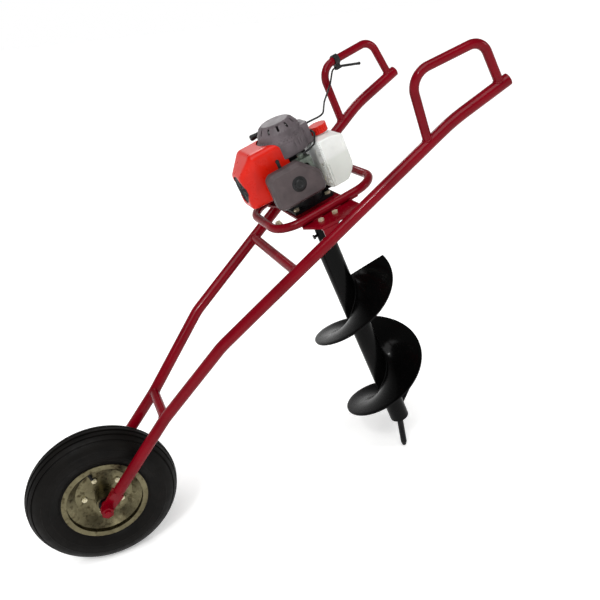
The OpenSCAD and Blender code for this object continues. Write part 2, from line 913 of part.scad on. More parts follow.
module intermediate_gear() {
    low = floor_t - bearing_w;
    high = cover_z + bearing_w;
    color("#8a8c90") parked() translate([0, gear_c, 0]) {
        translate([0, 0, low]) cylinder(d = small_shaft_d, h = high - low);
        translate([0, 0, out_gear_z - pinion_extra]) rotate([0, 0, -90 + 180 / pinion_teeth])
            gear(pinion_teeth, gear_w + 2 * pinion_extra);
        translate([0, 0, in_gear_z]) rotate([0, 0, -90 + 180 / wheel_teeth]) gear(wheel_teeth, gear_w);
    }
}

module output_gear() {
    color("#8a8c90") parked() translate([0, 0, out_gear_z]) difference() {
        rotate([0, 0, 90]) gear(wheel_teeth, gear_w);
        translate([0, 0, -through]) cylinder(d = out_shaft_d, h = gear_w + 2 * through);
    }
}

module output_shaft() {
    top = out_gear_z + gear_w + 1;
    color("#9a9ca0") parked() difference() {
        translate([0, 0, -shaft_low]) cylinder(d = out_shaft_d, h = top + shaft_low);
        translate([0, 0, pin_z]) rotate([0, 90, 0])
            cylinder(d = pin_d + 2 * fit, h = 2 * pipe_d, center = true);
    }
}

module shaft_bearings() {
    crank_bore = crank_d / 2 + run;
    color("#b8b8b8") parked() {
        for (z = [lip_t - boss_deep, floor_t - out_bearing_w]) translate([0, 0, z])
            sleeve(out_bearing_d / 2, out_shaft_d / 2 + run, out_bearing_w);
        translate([0, gear_c, floor_t - bearing_w]) small_bearing();
        for (y = [0, gear_c]) translate([0, y, cover_z]) small_bearing();
        for (z = [case_z, fan_z - case_bearing_w]) translate([0, 0, z])
            sleeve(case_bearing_d / 2, crank_bore, case_bearing_w);
    }
}

// Engine
// Local Z runs forward from the crankcase face to the head, local X runs up
module along_cylinder() {
    parked() translate([-case_face, 0, cyl_z]) rotate([0, -90, 0]) children();
}

module crankcase() {
    color("#8f9192") parked() difference() {
        union() {
            translate([0, 0, case_z]) cylinder(r = case_r, h = case_h);
            // Seat on the clutch housing, cut back behind the cylinder's face
            translate([0, 0, case_z]) difference() {
                cylinder(r = clutch_r, h = seat_t);
                translate([-2 * case_face, -clutch_r, -through])
                    cube([case_face + 1, 2 * clutch_r, seat_t + 2 * through]);
            }
            translate([-case_face, -case_w / 2, case_z]) cube([case_face, case_w, case_h]);
            translate([carb_x - carb_w / 2, -pad_y, cyl_z - block_w / 2])
                cube([carb_w, pad_y, block_w]);
        }
        translate([0, 0, case_z + case_bearing_w]) cylinder(r = chamber_r, h = chamber_h);
        translate([0, 0, case_z - through]) cylinder(d = case_bearing_d, h = case_h + 2 * through);
        translate([0, 0, cyl_z]) rotate([0, -90, 0])
            cylinder(d = bore_d + 2, h = case_face + through);
        translate([carb_x, 0, cyl_z]) rotate([90, 0, 0]) cylinder(r = port_r, h = pad_y + through);
    }
}

module engine_cylinder() {
    barrel_l = head_x - case_face;
    fin_pitch = (barrel_l - flange_x - fin_t) / fin_count;
    port = port_x - case_face;
    foot_h = case_h - 2;
    boss_w = 2 * port_r + 10;
    color("#8d8f90") along_cylinder() difference() {
        union() {
            translate([-foot_h / 2, -case_w / 2, 0]) cube([foot_h, case_w, flange_x]);
            cylinder(d = bore_d + 2 * barrel_wall, h = barrel_l);
            for (i = [1:fin_count]) translate([-fin_z / 2, -fin_w / 2, flange_x + i * fin_pitch])
                cube([fin_z, fin_w, fin_t]);
            translate([-boss_w / 2, 0, port - boss_w / 2]) cube([boss_w, muffler_in, boss_w]);
        }
        // Room for the fan housing above the first fin
        translate([case_h / 2 - gap, 0, -case_face]) rotate([0, 90, 0]) cylinder(r = fan_r + gap, h = fin_z);
        translate([0, 0, -through]) cylinder(d = bore_d, h = head_in - case_face + through);
        cylinder(r = plug_r, h = barrel_l + through);
        translate([0, 0, port]) rotate([-90, 0, 0]) cylinder(r = port_r, h = muffler_in + through);
    }
}

module piston() {
    crown_t = 6;
    color("#a4a6a8") along_cylinder() translate([0, 0, piston_rest - case_face - piston_l])
        difference() {
            cylinder(r = bore_d / 2 - run, h = piston_l);
            translate([0, 0, -through]) cylinder(r = bore_d / 2 - 4, h = piston_l - crown_t + through);
            translate([0, 0, piston_l / 2 - 3]) rotate([0, 90, 0])
                cylinder(d = 10, h = bore_d, center = true);
        }
}

module crankshaft() {
    low = drum_z + drum_floor + 2;
    web_low = case_z + case_bearing_w + 1;
    web_high = fan_z - case_bearing_w - 1;
    color("#9c9ea2") parked() {
        translate([0, 0, low]) cylinder(d = crank_d, h = web_low - low + through);
        translate([0, 0, web_high - through])
            cylinder(d = crank_d, h = starter_z + 3 - web_high + through);
        for (z = [web_low, web_high - web_t]) translate([0, 0, z]) cylinder(r = web_r, h = web_t);
        translate([0, crank_r, web_low]) cylinder(r = crank_pin_r, h = web_high - web_low);
    }
}

module flywheel() {
    z = fan_z + 5;
    disc_t = 12;
    vane_h = fan_h - disc_t - 8;
    vane_in = 30;
    wheel_r = fan_r - 8;
    color("#9a9c9e") parked() difference() {
        translate([0, 0, z]) {
            cylinder(r = wheel_r, h = disc_t);
            cylinder(r = 17, h = disc_t + vane_h);
            for (i = [0:15]) rotate([0, 0, 22.5 * i]) translate([vane_in, -1.2, disc_t - 0.5])
                cube([wheel_r - vane_in - 1, 2.4, vane_h + 0.5]);
        }
        translate([0, 0, z - through]) cylinder(d = crank_d, h = fan_h + 2 * through);
    }
}

// Plan of the coil pocket beside the flywheel, drawn smaller for its inside
module pocket_plan(inset) {
    length = pocket_out - pocket_in - 2 * inset;
    translate([(pocket_in + pocket_out) / 2, pocket_y])
        round_square(length, pocket_w - 2 * inset, pocket_round - inset);
}

module fan_housing() {
    color("#1c1c1e") parked() translate([0, 0, fan_z]) difference() {
        union() {
            cylinder(r = fan_r, h = fan_h);
            linear_extrude(fan_h) pocket_plan(0);
        }
        translate([0, 0, shell]) cylinder(r = fan_r - shell, h = fan_h);
        translate([0, 0, shell]) linear_extrude(fan_h) pocket_plan(shell);
        translate([0, 0, -through]) cylinder(d = case_bearing_d + 4, h = fan_h);
        // Air way to the cylinder fins
        translate([-fan_r - through, -window_w / 2, 7]) cube([fan_r / 2, window_w, fan_h - 14]);
    }
}

// Outline of the starter dome, drawn smaller for its inside
module dome_section(w) {
    top = starter_h - w;
    polygon([
        [0, 0], [fan_r - w, 0], [fan_r - w, 10.5], [fan_r - 5 - w, 13.5], [fan_r - 8 - w, 28],
        [fan_r - 18 - w, top - 5], [fan_r - 26 - w, top], [0, top]
    ]);
}

// Along the rope, from the reel outwards
module at_rope() {
    parked() translate([rope_x, 0, reel_z + reel_h / 2]) rotate([-90, 0, 0]) children();
}

module starter_housing() {
    slot_in = fan_r - 23;
    color("#5e5a60") difference() {
        union() {
            parked() translate([0, 0, starter_z]) rotate_extrude($fn = 96) dome_section(0);
            parked() translate([0, 0, starter_z]) linear_extrude(pocket_h) pocket_plan(0);
            at_rope() cylinder(r = eyelet_r, h = grip_seat - gap);
        }
        parked() translate([0, 0, starter_z - through]) linear_extrude(pocket_h - shell + through)
            pocket_plan(shell);
        parked() difference() {
            translate([0, 0, starter_z]) rotate_extrude($fn = 96) dome_section(shell);
            translate([0, 0, reel_z - 3]) cylinder(r = post_r, h = starter_h);
        }
        parked() for (i = [0:11]) rotate([0, 0, 30 * i + 15])
            translate([slot_in, -2.5, starter_z + starter_h - 16])
                cube([fan_r - 8 - slot_in, 5, 18]);
        at_rope() cylinder(r = rope_r + 1.2, h = fan_d);
    }
}

module starter_reel() {
    groove = reel_h - 4;
    color("#2a2a2c") parked() translate([0, 0, reel_z]) difference() {
        cylinder(r = reel_r, h = reel_h);
        translate([0, 0, 2]) sleeve(reel_r + through, reel_r - 7, groove);
        translate([0, 0, -through]) cylinder(r = post_r + run, h = reel_h + 2 * through);
    }
}

// Pull grip with the rope that runs in to the reel
module starter_grip() {
    bar_l = 52;
    bar_r = 8;
    neck_l = 8;
    color("#151516") at_rope() {
        cylinder(r = rope_r, h = grip_seat + neck_l);
        translate([0, 0, grip_seat]) cylinder(r1 = 5, r2 = bar_r, h = neck_l);
        translate([-bar_l / 2, 0, grip_seat + neck_l + 5]) rotate([0, 90, 0])
            cylinder(r = bar_r, h = bar_l);
    }
}

// Rounded cover over the cylinder, drawn smaller for its inside
module shroud_form(r) {
    half = shroud_w / 2 - shroud_round;
    low = shroud_low + shroud_round;
    high = shroud_high - shroud_round;
    front = -shroud_front + shroud_round;
    hull() for (s = [-1, 1]) {
        for (z = [low, high - shroud_brow]) translate([front, s * (half - 14), z]) sphere(r, $fn = 24);
        translate([front + shroud_brow, s * half, high]) sphere(r, $fn = 24);
        for (z = [low, high]) translate([-shroud_rear, s * half, z]) sphere(r, $fn = 24);
    }
}

module cylinder_shroud() {
    color("#e0321e") parked() difference() {
        shroud_form(shroud_round);
        shroud_form(shroud_round - cover_wall);
        // Open rear, open underside, front air outlet, muffler side and fan housing
        translate([-shroud_rear, -fan_d, 0]) cube([2 * fan_d, 2 * fan_d, 2 * fan_d]);
        translate([-2 * fan_d, -fan_d, 0]) cube([2 * fan_d, 2 * fan_d, shroud_low + 6]);
        translate([0, 0, cyl_z - 2]) rotate([0, -90, 0]) cylinder(r = outlet_r, h = 2 * shroud_front);
        translate([-port_x - muffler_l / 2 - 4, muffler_in - 3, 0])
            cube([muffler_l + 8, fan_d, cyl_z + muffler_h / 2 + 4]);
        translate([0, 0, fan_z - gap]) cylinder(r = fan_r + gap, h = 2 * fan_h);
    }
}

module spark_plug() {
    color("#d8d4c8") along_cylinder() translate([0, 0, head_in - case_face]) {
        cylinder(r = plug_r, h = head_t);
        translate([0, 0, head_t]) hex(10, plug_hex_l);
        translate([0, 0, head_t + plug_hex_l]) cylinder(r = 5, h = 18);
    }
}

module plug_boot() {
    low = head_x + plug_hex_l + 2 - case_face;
    color("#101011") along_cylinder() translate([0, 0, low]) difference() {
        cylinder(r = 10, h = 28);
        translate([0, 0, -through]) cylinder(r = 5, h = 16 + through);
    }
}

module muffler() {
    wall = cover_wall;
    color("#3a3836") parked() translate([-port_x, muffler_in, cyl_z]) rotate([-90, 0, 0]) {
        difference() {
            linear_extrude(muffler_t) round_square(muffler_l, muffler_h, 12);
            translate([0, 0, wall]) linear_extrude(muffler_t - 2 * wall)
                round_square(muffler_l - 2 * wall, muffler_h - 2 * wall, 12 - wall);
            translate([0, 0, -through]) cylinder(r = port_r, h = wall + 2 * through);
            translate([-12, 12, muffler_t - wall - through]) cylinder(r = 6, h = wall + 2 * through);
        }
        translate([-12, 12, muffler_t - wall]) sleeve(8, 6, 12);
    }
}

module intake_block() {
    color("#1a1a1a") parked() difference() {
        translate([carb_x - block_w / 2, -carb_y, cyl_z - block_w / 2]) cube([block_w, block_t, block_w]);
        translate([carb_x, 0, cyl_z]) rotate([90, 0, 0]) cylinder(r = port_r, h = carb_y + through);
    }
}

module carburettor() {
    half = carb_w / 2;
    color("#9aa39a") parked() difference() {
        union() {
            translate([carb_x - half, -base_y, cyl_z - half]) cube([carb_w, carb_l, carb_w]);
            translate([carb_x, -carb_mid, bowl_low]) cylinder(r = bowl_r, h = bowl_drop + through);
            translate([carb_x, -carb_mid, bowl_low - nipple_l])
                cylinder(r = nipple_r, h = nipple_l + through);
        }
        translate([carb_x, 0, cyl_z]) rotate([90, 0, 0]) cylinder(r = port_r, h = base_y + through);
        translate([carb_x, -carb_mid, carb_top - 8]) cylinder(r = 3 + run, h = 10);
    }
}

module throttle_drum() {
    color("#77797c") parked() translate([carb_x, -carb_mid, carb_top]) {
        translate([0, 0, -7]) cylinder(r = 3, h = 9);
        translate([0, 0, gap]) cylinder(d = throttle_d, h = 10);
        translate([-throttle_d / 2 - 6, -2, gap]) cube([10, 4, 4]);
    }
}

// Place on the filter's mounting face, local Z outwards to the left
module at_filter() {
    parked() translate([filter_x, -base_y, filter_z]) rotate([90, 0, 0]) children();
}

// Filter outline: a rectangle with its rear upper corner cut back
module filter_outline(inset) {
    x = filter_l / 2 - filter_round;
    z = filter_h / 2 - filter_round;
    hull() for (p = [[-x, -z], [x, -z], [x, z - filter_cut], [x - filter_cut, z], [-x, z]])
        translate(p) circle(filter_round - inset, $fn = 32);
}

module filter_base() {
    color("#3c3a3e") at_filter() difference() {
        linear_extrude(base_t) filter_outline(0);
        translate([carb_x - filter_x, cyl_z - filter_z, -through])
            cylinder(r = port_r, h = base_t + 2 * through);
        translate([choke_x, choke_z, -through]) cylinder(r = choke_pin + run, h = base_t + through);
    }
}

module filter_element() {
    color("#6a6a52") at_filter() translate([0, 0, base_t])
        linear_extrude(filter_depth - 8) filter_outline(13);
}

// Dished lid, drawn smaller and deeper for its inside
module lid_form(inset, deep) {
    hull() {
        translate([0, 0, -deep]) linear_extrude(filter_depth / 2 + deep) filter_outline(inset);
        translate([0, 0, filter_depth - inset - 1]) linear_extrude(1) filter_outline(inset + 8);
    }
}

module filter_cover() {
    color("#5e5a60") at_filter() translate([0, 0, base_t]) difference() {
        lid_form(0, 0);
        lid_form(cover_wall, through);
    }
}

module choke_lever() {
    reach_up = 26;
    color("#151516") at_filter() translate([choke_x, choke_z, 0]) {
        translate([0, 0, -gap]) cylinder(r = choke_pin, h = base_t);
        translate([0, 0, -gap - 3]) linear_extrude(3) {
            circle(6);
            translate([-4, 0]) square([8, reach_up]);
            translate([0, reach_up]) circle(5);
        }
    }
}

// Side outline of the tank, with its rear edges cut back
module tank_outline(inset) {
    low = tank_low + tank_round;
    high = tank_top - tank_round;
    front = tank_front + tank_round;
    rear = tank_rear - tank_round;
    hull() for (p = [[front, low], [rear - 24, low], [rear, low + 26], [rear, high - 8],
        [cap_x, high], [front, high]]) translate(p) circle(tank_round - inset, $fn = 32);
}

module tank_form(inset) {
    length = tank_rear - tank_front - 2 * inset;
    width = tank_w - 2 * inset;
    intersection() {
        rotate([90, 0, 0]) linear_extrude(width, center = true) tank_outline(inset);
        translate([(tank_front + tank_rear) / 2, 0, 0]) linear_extrude(2 * tank_top)
            round_square(length, width, 1.6 * tank_round - inset);
    }
}

module fuel_tank() {
    color("#dcdcd8") parked() difference() {
        union() {
            tank_form(0);
            translate([cap_x, 0, tank_top - 6]) cylinder(r = neck_r, h = neck_h + 6);
            translate([tank_front + 1, -hose_y, hose_low]) rotate([0, -90, 0])
                cylinder(r = nipple_r, h = nipple_l);
        }
        tank_form(tank_wall);
        translate([cap_x, 0, tank_top - 12]) cylinder(r = neck_r - 3, h = neck_h + 14);
    }
}

module fuel_cap() {
    notch_r = 2;
    color("#e0321e") parked() translate([cap_x, 0, tank_top + cap_lift]) difference() {
        cylinder(d = cap_d, h = cap_h);
        translate([0, 0, -through]) cylinder(r = neck_r + gap, h = neck_h - cap_lift + gap + through);
        for (i = [0:17]) rotate([0, 0, 20 * i]) translate([cap_d / 2 + 0.5, 0, 4])
            cylinder(r = notch_r, h = cap_h);
    }
}

module fuel_hose() {
    path = [
        [tank_front - gap, -hose_y, hose_low], [tank_front - 20, -hose_y, hose_low],
        [carb_x, -carb_mid, hose_low + 3], [carb_x, -carb_mid, bowl_low - gap]
    ];
    color("#b8a24a") parked() bent_tube(path, hose_bends, hose_r, hose_wall);
}

module tank_bracket() {
    color("#161617") parked() {
        translate([flange_half - leg_l, -shelf_w / 2, shelf_z]) cube([shelf_l, shelf_w, shelf_t]);
        for (y = shelf_legs) translate([flange_half - leg_l, y, flange_t])
            cube([leg_l, leg_w, shelf_z + through - flange_t]);
    }
}

// Throttle: local X runs back along the right handle bar
module at_bar() {
    parked() translate(clamp_p) rotate([0, 0, bar_yaw]) children();
}

module throttle_clamp() {
    drop = pivot_drop + 7;
    color("#2a1a1a") at_bar() {
        difference() {
            union() {
                rotate([0, 90, 0]) cylinder(r = loop_d / 2 + clamp_wall, h = clamp_w, center = true);
                translate([-clamp_w / 2, -clamp_half, -drop]) cube([clamp_w, 2 * clamp_half, drop]);
            }
            rotate([0, 90, 0]) cylinder(d = loop_d + 2 * fit, h = 2 * clamp_w, center = true);
            translate([-clamp_w / 2 + 3, -lever_t / 2 - gap, -2 * drop])
                cube([2 * clamp_w, lever_t + 2 * gap, 2 * drop - loop_d / 2 - 1]);
        }
        translate([1, 0, -pivot_drop]) rotate([90, 0, 0])
            cylinder(r = lever_pin, h = 2 * clamp_half, center = true);
    }
}

module throttle_lever() {
    lever_l = 74;
    color("#1a1a1a") at_bar() translate([1, 0, -pivot_drop]) rotate([90, lever_droop, 0])
        linear_extrude(lever_t, center = true) difference() {
            union() {
                circle(5);
                translate([0, -3.5]) square([lever_l, 7]);
                translate([lever_l, 0]) circle(4.5);
            }
            circle(lever_pin + run);
        }
}

module throttle_cable() {
    ahead = [cos(bar_yaw), sin(bar_yaw), 0];
    start = clamp_p - (clamp_w / 2 + 0.1) * ahead - [0, 0, pivot_drop];
    first = start - cable_lead * ahead;
    stop = [carb_x + throttle_d / 2 + 0.6, -carb_mid, carb_top + 6];
    path = concat([start, first], cable_route, [stop]);
    color("#121212") parked() bent_rod(path, cable_bends, cable_d / 2);
}

// Auger
module auger_tube() {
    color("#0e0e0e") parked() difference() {
        union() {
            translate([0, 0, -pipe_low]) cylinder(d = pipe_d, h = pipe_low - pipe_top, $fn = 64);
            translate([0, 0, -pipe_top - 1]) cylinder(r = sleeve_r, h = pipe_top + 1 - sleeve_top);
        }
        translate([0, 0, -pipe_low - through])
            cylinder(d = pipe_d - 2 * pipe_wall, h = pipe_low - pipe_top - 6 + through);
        translate([0, 0, -shaft_low - 1]) cylinder(d = out_shaft_d + 2 * fit, h = shaft_low);
        translate([0, 0, pin_z]) rotate([0, 90, 0])
            cylinder(d = pin_d + 2 * fit, h = 2 * pipe_d, center = true);
    }
}

// A right-hand helical sheet between two angles below its top edge
module helicoid(a0, a1, r_in, r_out, t) {
    n = ceil((a1 - a0) * flight_steps / 360);
    points = [
        for (i = [0:n]) let (a = a0 + (a1 - a0) * i / n, z = -flight_top - flight_pitch * a / 360)
            each [
                [r_in * cos(a), -r_in * sin(a), z - t], [r_out * cos(a), -r_out * sin(a), z - t],
                [r_out * cos(a), -r_out * sin(a), z], [r_in * cos(a), -r_in * sin(a), z]
            ]
    ];
    faces = concat(
        [[0, 1, 2], [0, 2, 3], [4 * n + 2, 4 * n + 1, 4 * n], [4 * n + 3, 4 * n + 2, 4 * n]],
        [
            for (i = [0:n - 1], j = [0:3]) let (k = (j + 1) % 4, b = 4 * i)
                each [[b + j, b + 4 + j, b + 4 + k], [b + j, b + 4 + k, b + k]]
        ]
    );
    polyhedron(points, faces);
}

module auger_flight() {
    color("#0e0e0e") parked() helicoid(0, flight_arc, weld_r, flight_d / 2, flight_t);
}

module cutting_blade() {
    color("#1c1c1c") parked()
        helicoid(flight_arc, flight_arc + blade_arc, pipe_d / 2 + 8, flight_d / 2, flight_t + 2);
}

module pilot_point() {
    taper = 14;
    nose_r = 0.65 * pilot_d / 2;
    color("#1c1c1c") parked() translate([0, 0, -pipe_low]) {
        cylinder(d = pipe_d - 2 * pipe_wall - 2 * fit, h = 16);
        translate([0, 0, -6]) cylinder(d = pipe_d - 2 * pipe_wall - 8, h = 7);
        rotate([0, 180 + pilot_lean, 0]) {
            cylinder(d = pilot_d, h = pilot_l - taper);
            translate([0, 0, pilot_l - taper]) cylinder(d1 = pilot_d, r2 = nose_r, h = taper - 1);
            translate([0, 0, pilot_l - 1]) cylinder(r1 = nose_r, r2 = 0.8 * tip_r, h = 2.2);
            translate([0, 0, pilot_l]) sphere(tip_r);
        }
    }
}

module coupling_pin() {
    out = sleeve_r + 8;
    ring_r = 7;
    color("#b4b0a0") parked() translate([0, 0, pin_z]) rotate([0, 90, 0]) {
        translate([0, 0, -out]) cylinder(d = pin_d, h = 2 * out);
        translate([0, 0, -out - 3]) cylinder(d = pin_d + 5, h = 4);
        translate([0, 0, out + ring_r - 3]) rotate([90, 0, 0]) rotate_extrude()
            translate([ring_r, 0]) circle(1.2);
    }
}

left_arm();
right_arm();
fork_bridge();
middle_cross_tube();
mounting_ring();
base_plate();
gussets();
left_handle_loop();
right_handle_loop();
base_bolts();
axle();
axle_hardware();
wheel_hub();
wheel_bearings();
rim_left();
rim_right();
rim_bolts();
tyre();
inner_tube();
gearbox_housing();
gearbox_cover();
clutch_housing();
clutch_drum();
clutch_shoes();
intermediate_gear();
output_gear();
output_shaft();
shaft_bearings();
crankcase();
engine_cylinder();
piston();
crankshaft();
flywheel();
fan_housing();
starter_housing();
starter_reel();
starter_grip();
cylinder_shroud();
spark_plug();
plug_boot();
muffler();
intake_block();
carburettor();
throttle_drum();
filter_base();
filter_element();
filter_cover();
choke_lever();
fuel_tank();
fuel_cap();
fuel_hose();
tank_bracket();
throttle_clamp();
throttle_lever();
throttle_cable();
auger_tube();
auger_flight();
cutting_blade();
pilot_point();
coupling_pin();
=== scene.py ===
"""Looks of a petrol earth auger on a one-wheeled barrow frame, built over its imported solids."""

from __future__ import annotations

import json
import logging
import math
from collections.abc import Callable, Sequence
from dataclasses import dataclass
from enum import Enum

import bpy
from mathutils import Matrix, Vector

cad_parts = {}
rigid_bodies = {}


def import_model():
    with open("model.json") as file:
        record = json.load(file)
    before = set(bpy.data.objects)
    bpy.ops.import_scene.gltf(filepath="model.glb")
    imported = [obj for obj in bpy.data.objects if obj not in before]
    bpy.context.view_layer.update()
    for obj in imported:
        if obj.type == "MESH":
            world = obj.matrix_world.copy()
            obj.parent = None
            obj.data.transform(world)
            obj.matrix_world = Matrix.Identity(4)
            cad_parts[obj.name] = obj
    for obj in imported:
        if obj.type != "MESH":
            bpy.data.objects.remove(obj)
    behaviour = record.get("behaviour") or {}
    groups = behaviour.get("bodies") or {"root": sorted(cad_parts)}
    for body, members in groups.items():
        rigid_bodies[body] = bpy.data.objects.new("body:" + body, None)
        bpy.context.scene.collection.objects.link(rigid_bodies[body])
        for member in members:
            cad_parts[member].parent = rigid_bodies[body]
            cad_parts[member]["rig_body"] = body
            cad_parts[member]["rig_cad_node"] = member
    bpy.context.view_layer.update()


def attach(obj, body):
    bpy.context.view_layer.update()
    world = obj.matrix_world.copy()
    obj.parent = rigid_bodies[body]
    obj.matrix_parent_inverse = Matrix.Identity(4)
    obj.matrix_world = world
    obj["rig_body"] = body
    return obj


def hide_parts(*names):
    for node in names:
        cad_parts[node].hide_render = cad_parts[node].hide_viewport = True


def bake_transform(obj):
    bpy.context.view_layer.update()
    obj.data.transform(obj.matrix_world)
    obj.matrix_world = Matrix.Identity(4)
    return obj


LOG = logging.getLogger("earth_auger")
MM = 0.001
LEAN = math.radians(17.9842)
PARKED = Matrix.Translation((0.224948, 0.0, 0.883106)) @ Matrix.Rotation(-LEAN, 4, "Y")
WHITE = (1.0, 1.0, 1.0, 1.0)
# Inputs and output of a colour Mix node, by number because its names repeat
MIX_SHARE, MIX_FROM, MIX_TO, MIX_RESULT = 0, 6, 7, 2
RELIEF_STRENGTH = 0.6
# Points closer than this are one point
MERGE_MM = 0.02
# A face whose normal has at least this share along an axis faces that way
FACING = 0.9
BEAD_FINENESS = 2
CORD_FINENESS = 5
# A weld bead's ripple: how much of its radius comes and goes, and how fast along its points
RIPPLE_DEEP = 0.16
RIPPLE_STEP = 1.1

Point = tuple[float, float, float]
Profile = tuple[tuple[float, float], ...]
Socket = bpy.types.NodeSocket


class Body(Enum):
    """Moving bodies that new pieces ride on."""

    FRAME = "frame"
    WHEEL = "wheel"
    AUGER = "auger"
    GRIP = "grip"
    CAP = "cap"
    LEVER = "lever"


class Side(Enum):
    """Left and right of the machine, as signs on its width."""

    LEFT = -1
    RIGHT = 1


class Band(Enum):
    """Noise values between which a patch goes from none to full."""

    CLOUD = (0.35, 0.7)
    SHEEN = (0.3, 0.7)
    FINE = (0.25, 0.75)
    BROAD = (0.2, 0.8)
    STAIN = (0.52, 0.7)
    FLECK = (0.70, 0.76)


def parked(p: Point | Vector) -> Vector:
    """Turns a point of the drill's own upright frame, in millimetres, into the row frame."""
    return PARKED @ (Vector(p) * MM)


def linear(code: str) -> tuple[float, float, float, float]:
    """Turns an sRGB hex colour into linear light.

    Args:
        code: Six hex digits with a leading hash.

    Returns:
        The colour as red, green, blue and full opacity.
    """
    parts = [int(code[i : i + 2], 16) / 255 for i in (1, 3, 5)]
    red, green, blue = [c / 12.92 if c <= 0.04045 else ((c + 0.055) / 1.055) ** 2.4 for c in parts]
    return red, green, blue, 1.0


def per_metre(size_mm: float) -> float:
    """Gives the pattern scale whose cells are that many millimetres wide."""
    return 1000.0 / size_mm


def add(
    tree: bpy.types.NodeTree,
    kind: str,
    settings: dict[str, object] | None = None,
    sockets: dict[str | int, object] | None = None,
    feeds: dict[str | int, Socket] | None = None,
) -> bpy.types.Node:
    """Adds a shader node, sets it and links it.

    Args:
        tree: Node tree of the material.
        kind: Node type.
        settings: Properties of the node by name.
        sockets: Input sockets by name or number, each with a value or an output to link.
        feeds: Outputs by name or number, each with the input that it feeds.

    Returns:
        The new node.
    """
    made = tree.nodes.new(kind)
    for name, value in (settings or {}).items():
        setattr(made, name, value)
    for name, value in (sockets or {}).items():
        if isinstance(value, Socket):
            tree.links.new(value, made.inputs[name])
        else:
            made.inputs[name].default_value = value
    for name, target in (feeds or {}).items():
        tree.links.new(made.outputs[name], target)
    return made


@dataclass(frozen=True)
class Finish:
    """A surface finish: one material and the record's slot that it stands for."""

    name: str
    slot: str
    colour: str
    shade: str
    rough: tuple[float, float]
    cloud_mm: float = 60.0
    sheen_mm: float = 18.0
    grain_mm: float = 2.0
    grain_deep: float = 0.1
    gloss: float = 0.5

    def material(self) -> bpy.types.Material:
        """Gives the finish's material, made at its first use."""
        made = bpy.data.materials.get(self.name)
        if made is not None:
            return made
        made = bpy.data.materials.new(self.name)
        made.use_nodes = True
        tree = made.node_tree
        tree.nodes.clear()
        shader = add(tree, "ShaderNodeBsdfPrincipled", None, {"Specular IOR Level": self.gloss})
        add(tree, "ShaderNodeOutputMaterial", None, {"Surface": shader.outputs["BSDF"]})
        spot = add(tree, "ShaderNodeTexCoord").outputs["Object"]
        self.paint(tree, shader, spot)
        return made

    def patches(
        self, tree: bpy.types.NodeTree, spot: Socket, size_mm: float, band: Band, detail: float = 3.0
    ) -> Socket:
        """Lays soft patches over the surface.

        Args:
            tree: Node tree of the material.
            spot: Coordinates.
            size_mm: Width of a patch.
            band: Where the noise turns into a patch.
            detail: Fineness of the patch's edge.

        Returns:
            A value from 0 to 1.
        """
        cells = {"Vector": spot, "Scale": per_metre(size_mm), "Detail": detail}
        noise = add(tree, "ShaderNodeTexNoise", None, cells)
        low, high = band.value
        mapped = {"Value": noise.outputs["Fac"], "From Min": low, "From Max": high}
        return add(tree, "ShaderNodeMapRange", None, mapped).outputs["Result"]

    def clouded(self, tree: bpy.types.NodeTree, spot: Socket) -> Socket:
        """Lets the finish's two tones drift into each other in soft clouds."""
        cloud = self.patches(tree, spot, self.cloud_mm, Band.CLOUD)
        tones = {MIX_SHARE: cloud, MIX_FROM: linear(self.colour), MIX_TO: linear(self.shade)}
        return add(tree, "ShaderNodeMix", {"data_type": "RGBA"}, tones).outputs[MIX_RESULT]

    def uneven_gloss(self, tree: bpy.types.NodeTree, shader: bpy.types.Node, share: Socket) -> None:
        """Lets the roughness drift between its two values."""
        ends = {"Value": share, "To Min": self.rough[0], "To Max": self.rough[1]}
        add(tree, "ShaderNodeMapRange", None, ends, {"Result": shader.inputs["Roughness"]})

    def relief(self, tree: bpy.types.NodeTree, shader: bpy.types.Node, height: Socket) -> None:
        """Raises the grain by a height from 0 to 1."""
        raised = {"Strength": RELIEF_STRENGTH, "Distance": self.grain_deep * MM, "Height": height}
        add(tree, "ShaderNodeBump", None, raised, {"Normal": shader.inputs["Normal"]})

    def paint(self, tree: bpy.types.NodeTree, shader: bpy.types.Node, spot: Socket) -> None:
        """Colours the surface in soft clouds with a fine grain."""
        tree.links.new(self.clouded(tree, spot), shader.inputs["Base Color"])
        self.uneven_gloss(tree, shader, self.patches(tree, spot, self.sheen_mm, Band.SHEEN))
        self.relief(tree, shader, self.patches(tree, spot, self.grain_mm, Band.FINE))


@dataclass(frozen=True)
class GlossEnamel(Finish):
    """Sprayed enamel: deep colour under a glossy skin with a faint orange peel and a few dull flecks."""

    sheen_mm: float = 24.0
    fleck: str = "#2a0a0e"
    fleck_mm: float = 5.0
    coat: float = 0.2
    coat_rough: float = 0.08

    def paint(self, tree: bpy.types.NodeTree, shader: bpy.types.Node, spot: Socket) -> None:
        """Colours the enamel, its flecks and its peel."""
        flecks = self.patches(tree, spot, self.fleck_mm, Band.FLECK, detail=6.0)
        tones = {MIX_SHARE: flecks, MIX_FROM: self.clouded(tree, spot), MIX_TO: linear(self.fleck)}
        feeds = {MIX_RESULT: shader.inputs["Base Color"]}
        add(tree, "ShaderNodeMix", {"data_type": "RGBA"}, tones, feeds)
        self.uneven_gloss(tree, shader, self.patches(tree, spot, self.sheen_mm, Band.SHEEN))
        self.relief(tree, shader, self.patches(tree, spot, self.grain_mm, Band.BROAD, detail=1.0))
        shader.inputs["Coat Weight"].default_value = self.coat
        shader.inputs["Coat Roughness"].default_value = self.coat_rough


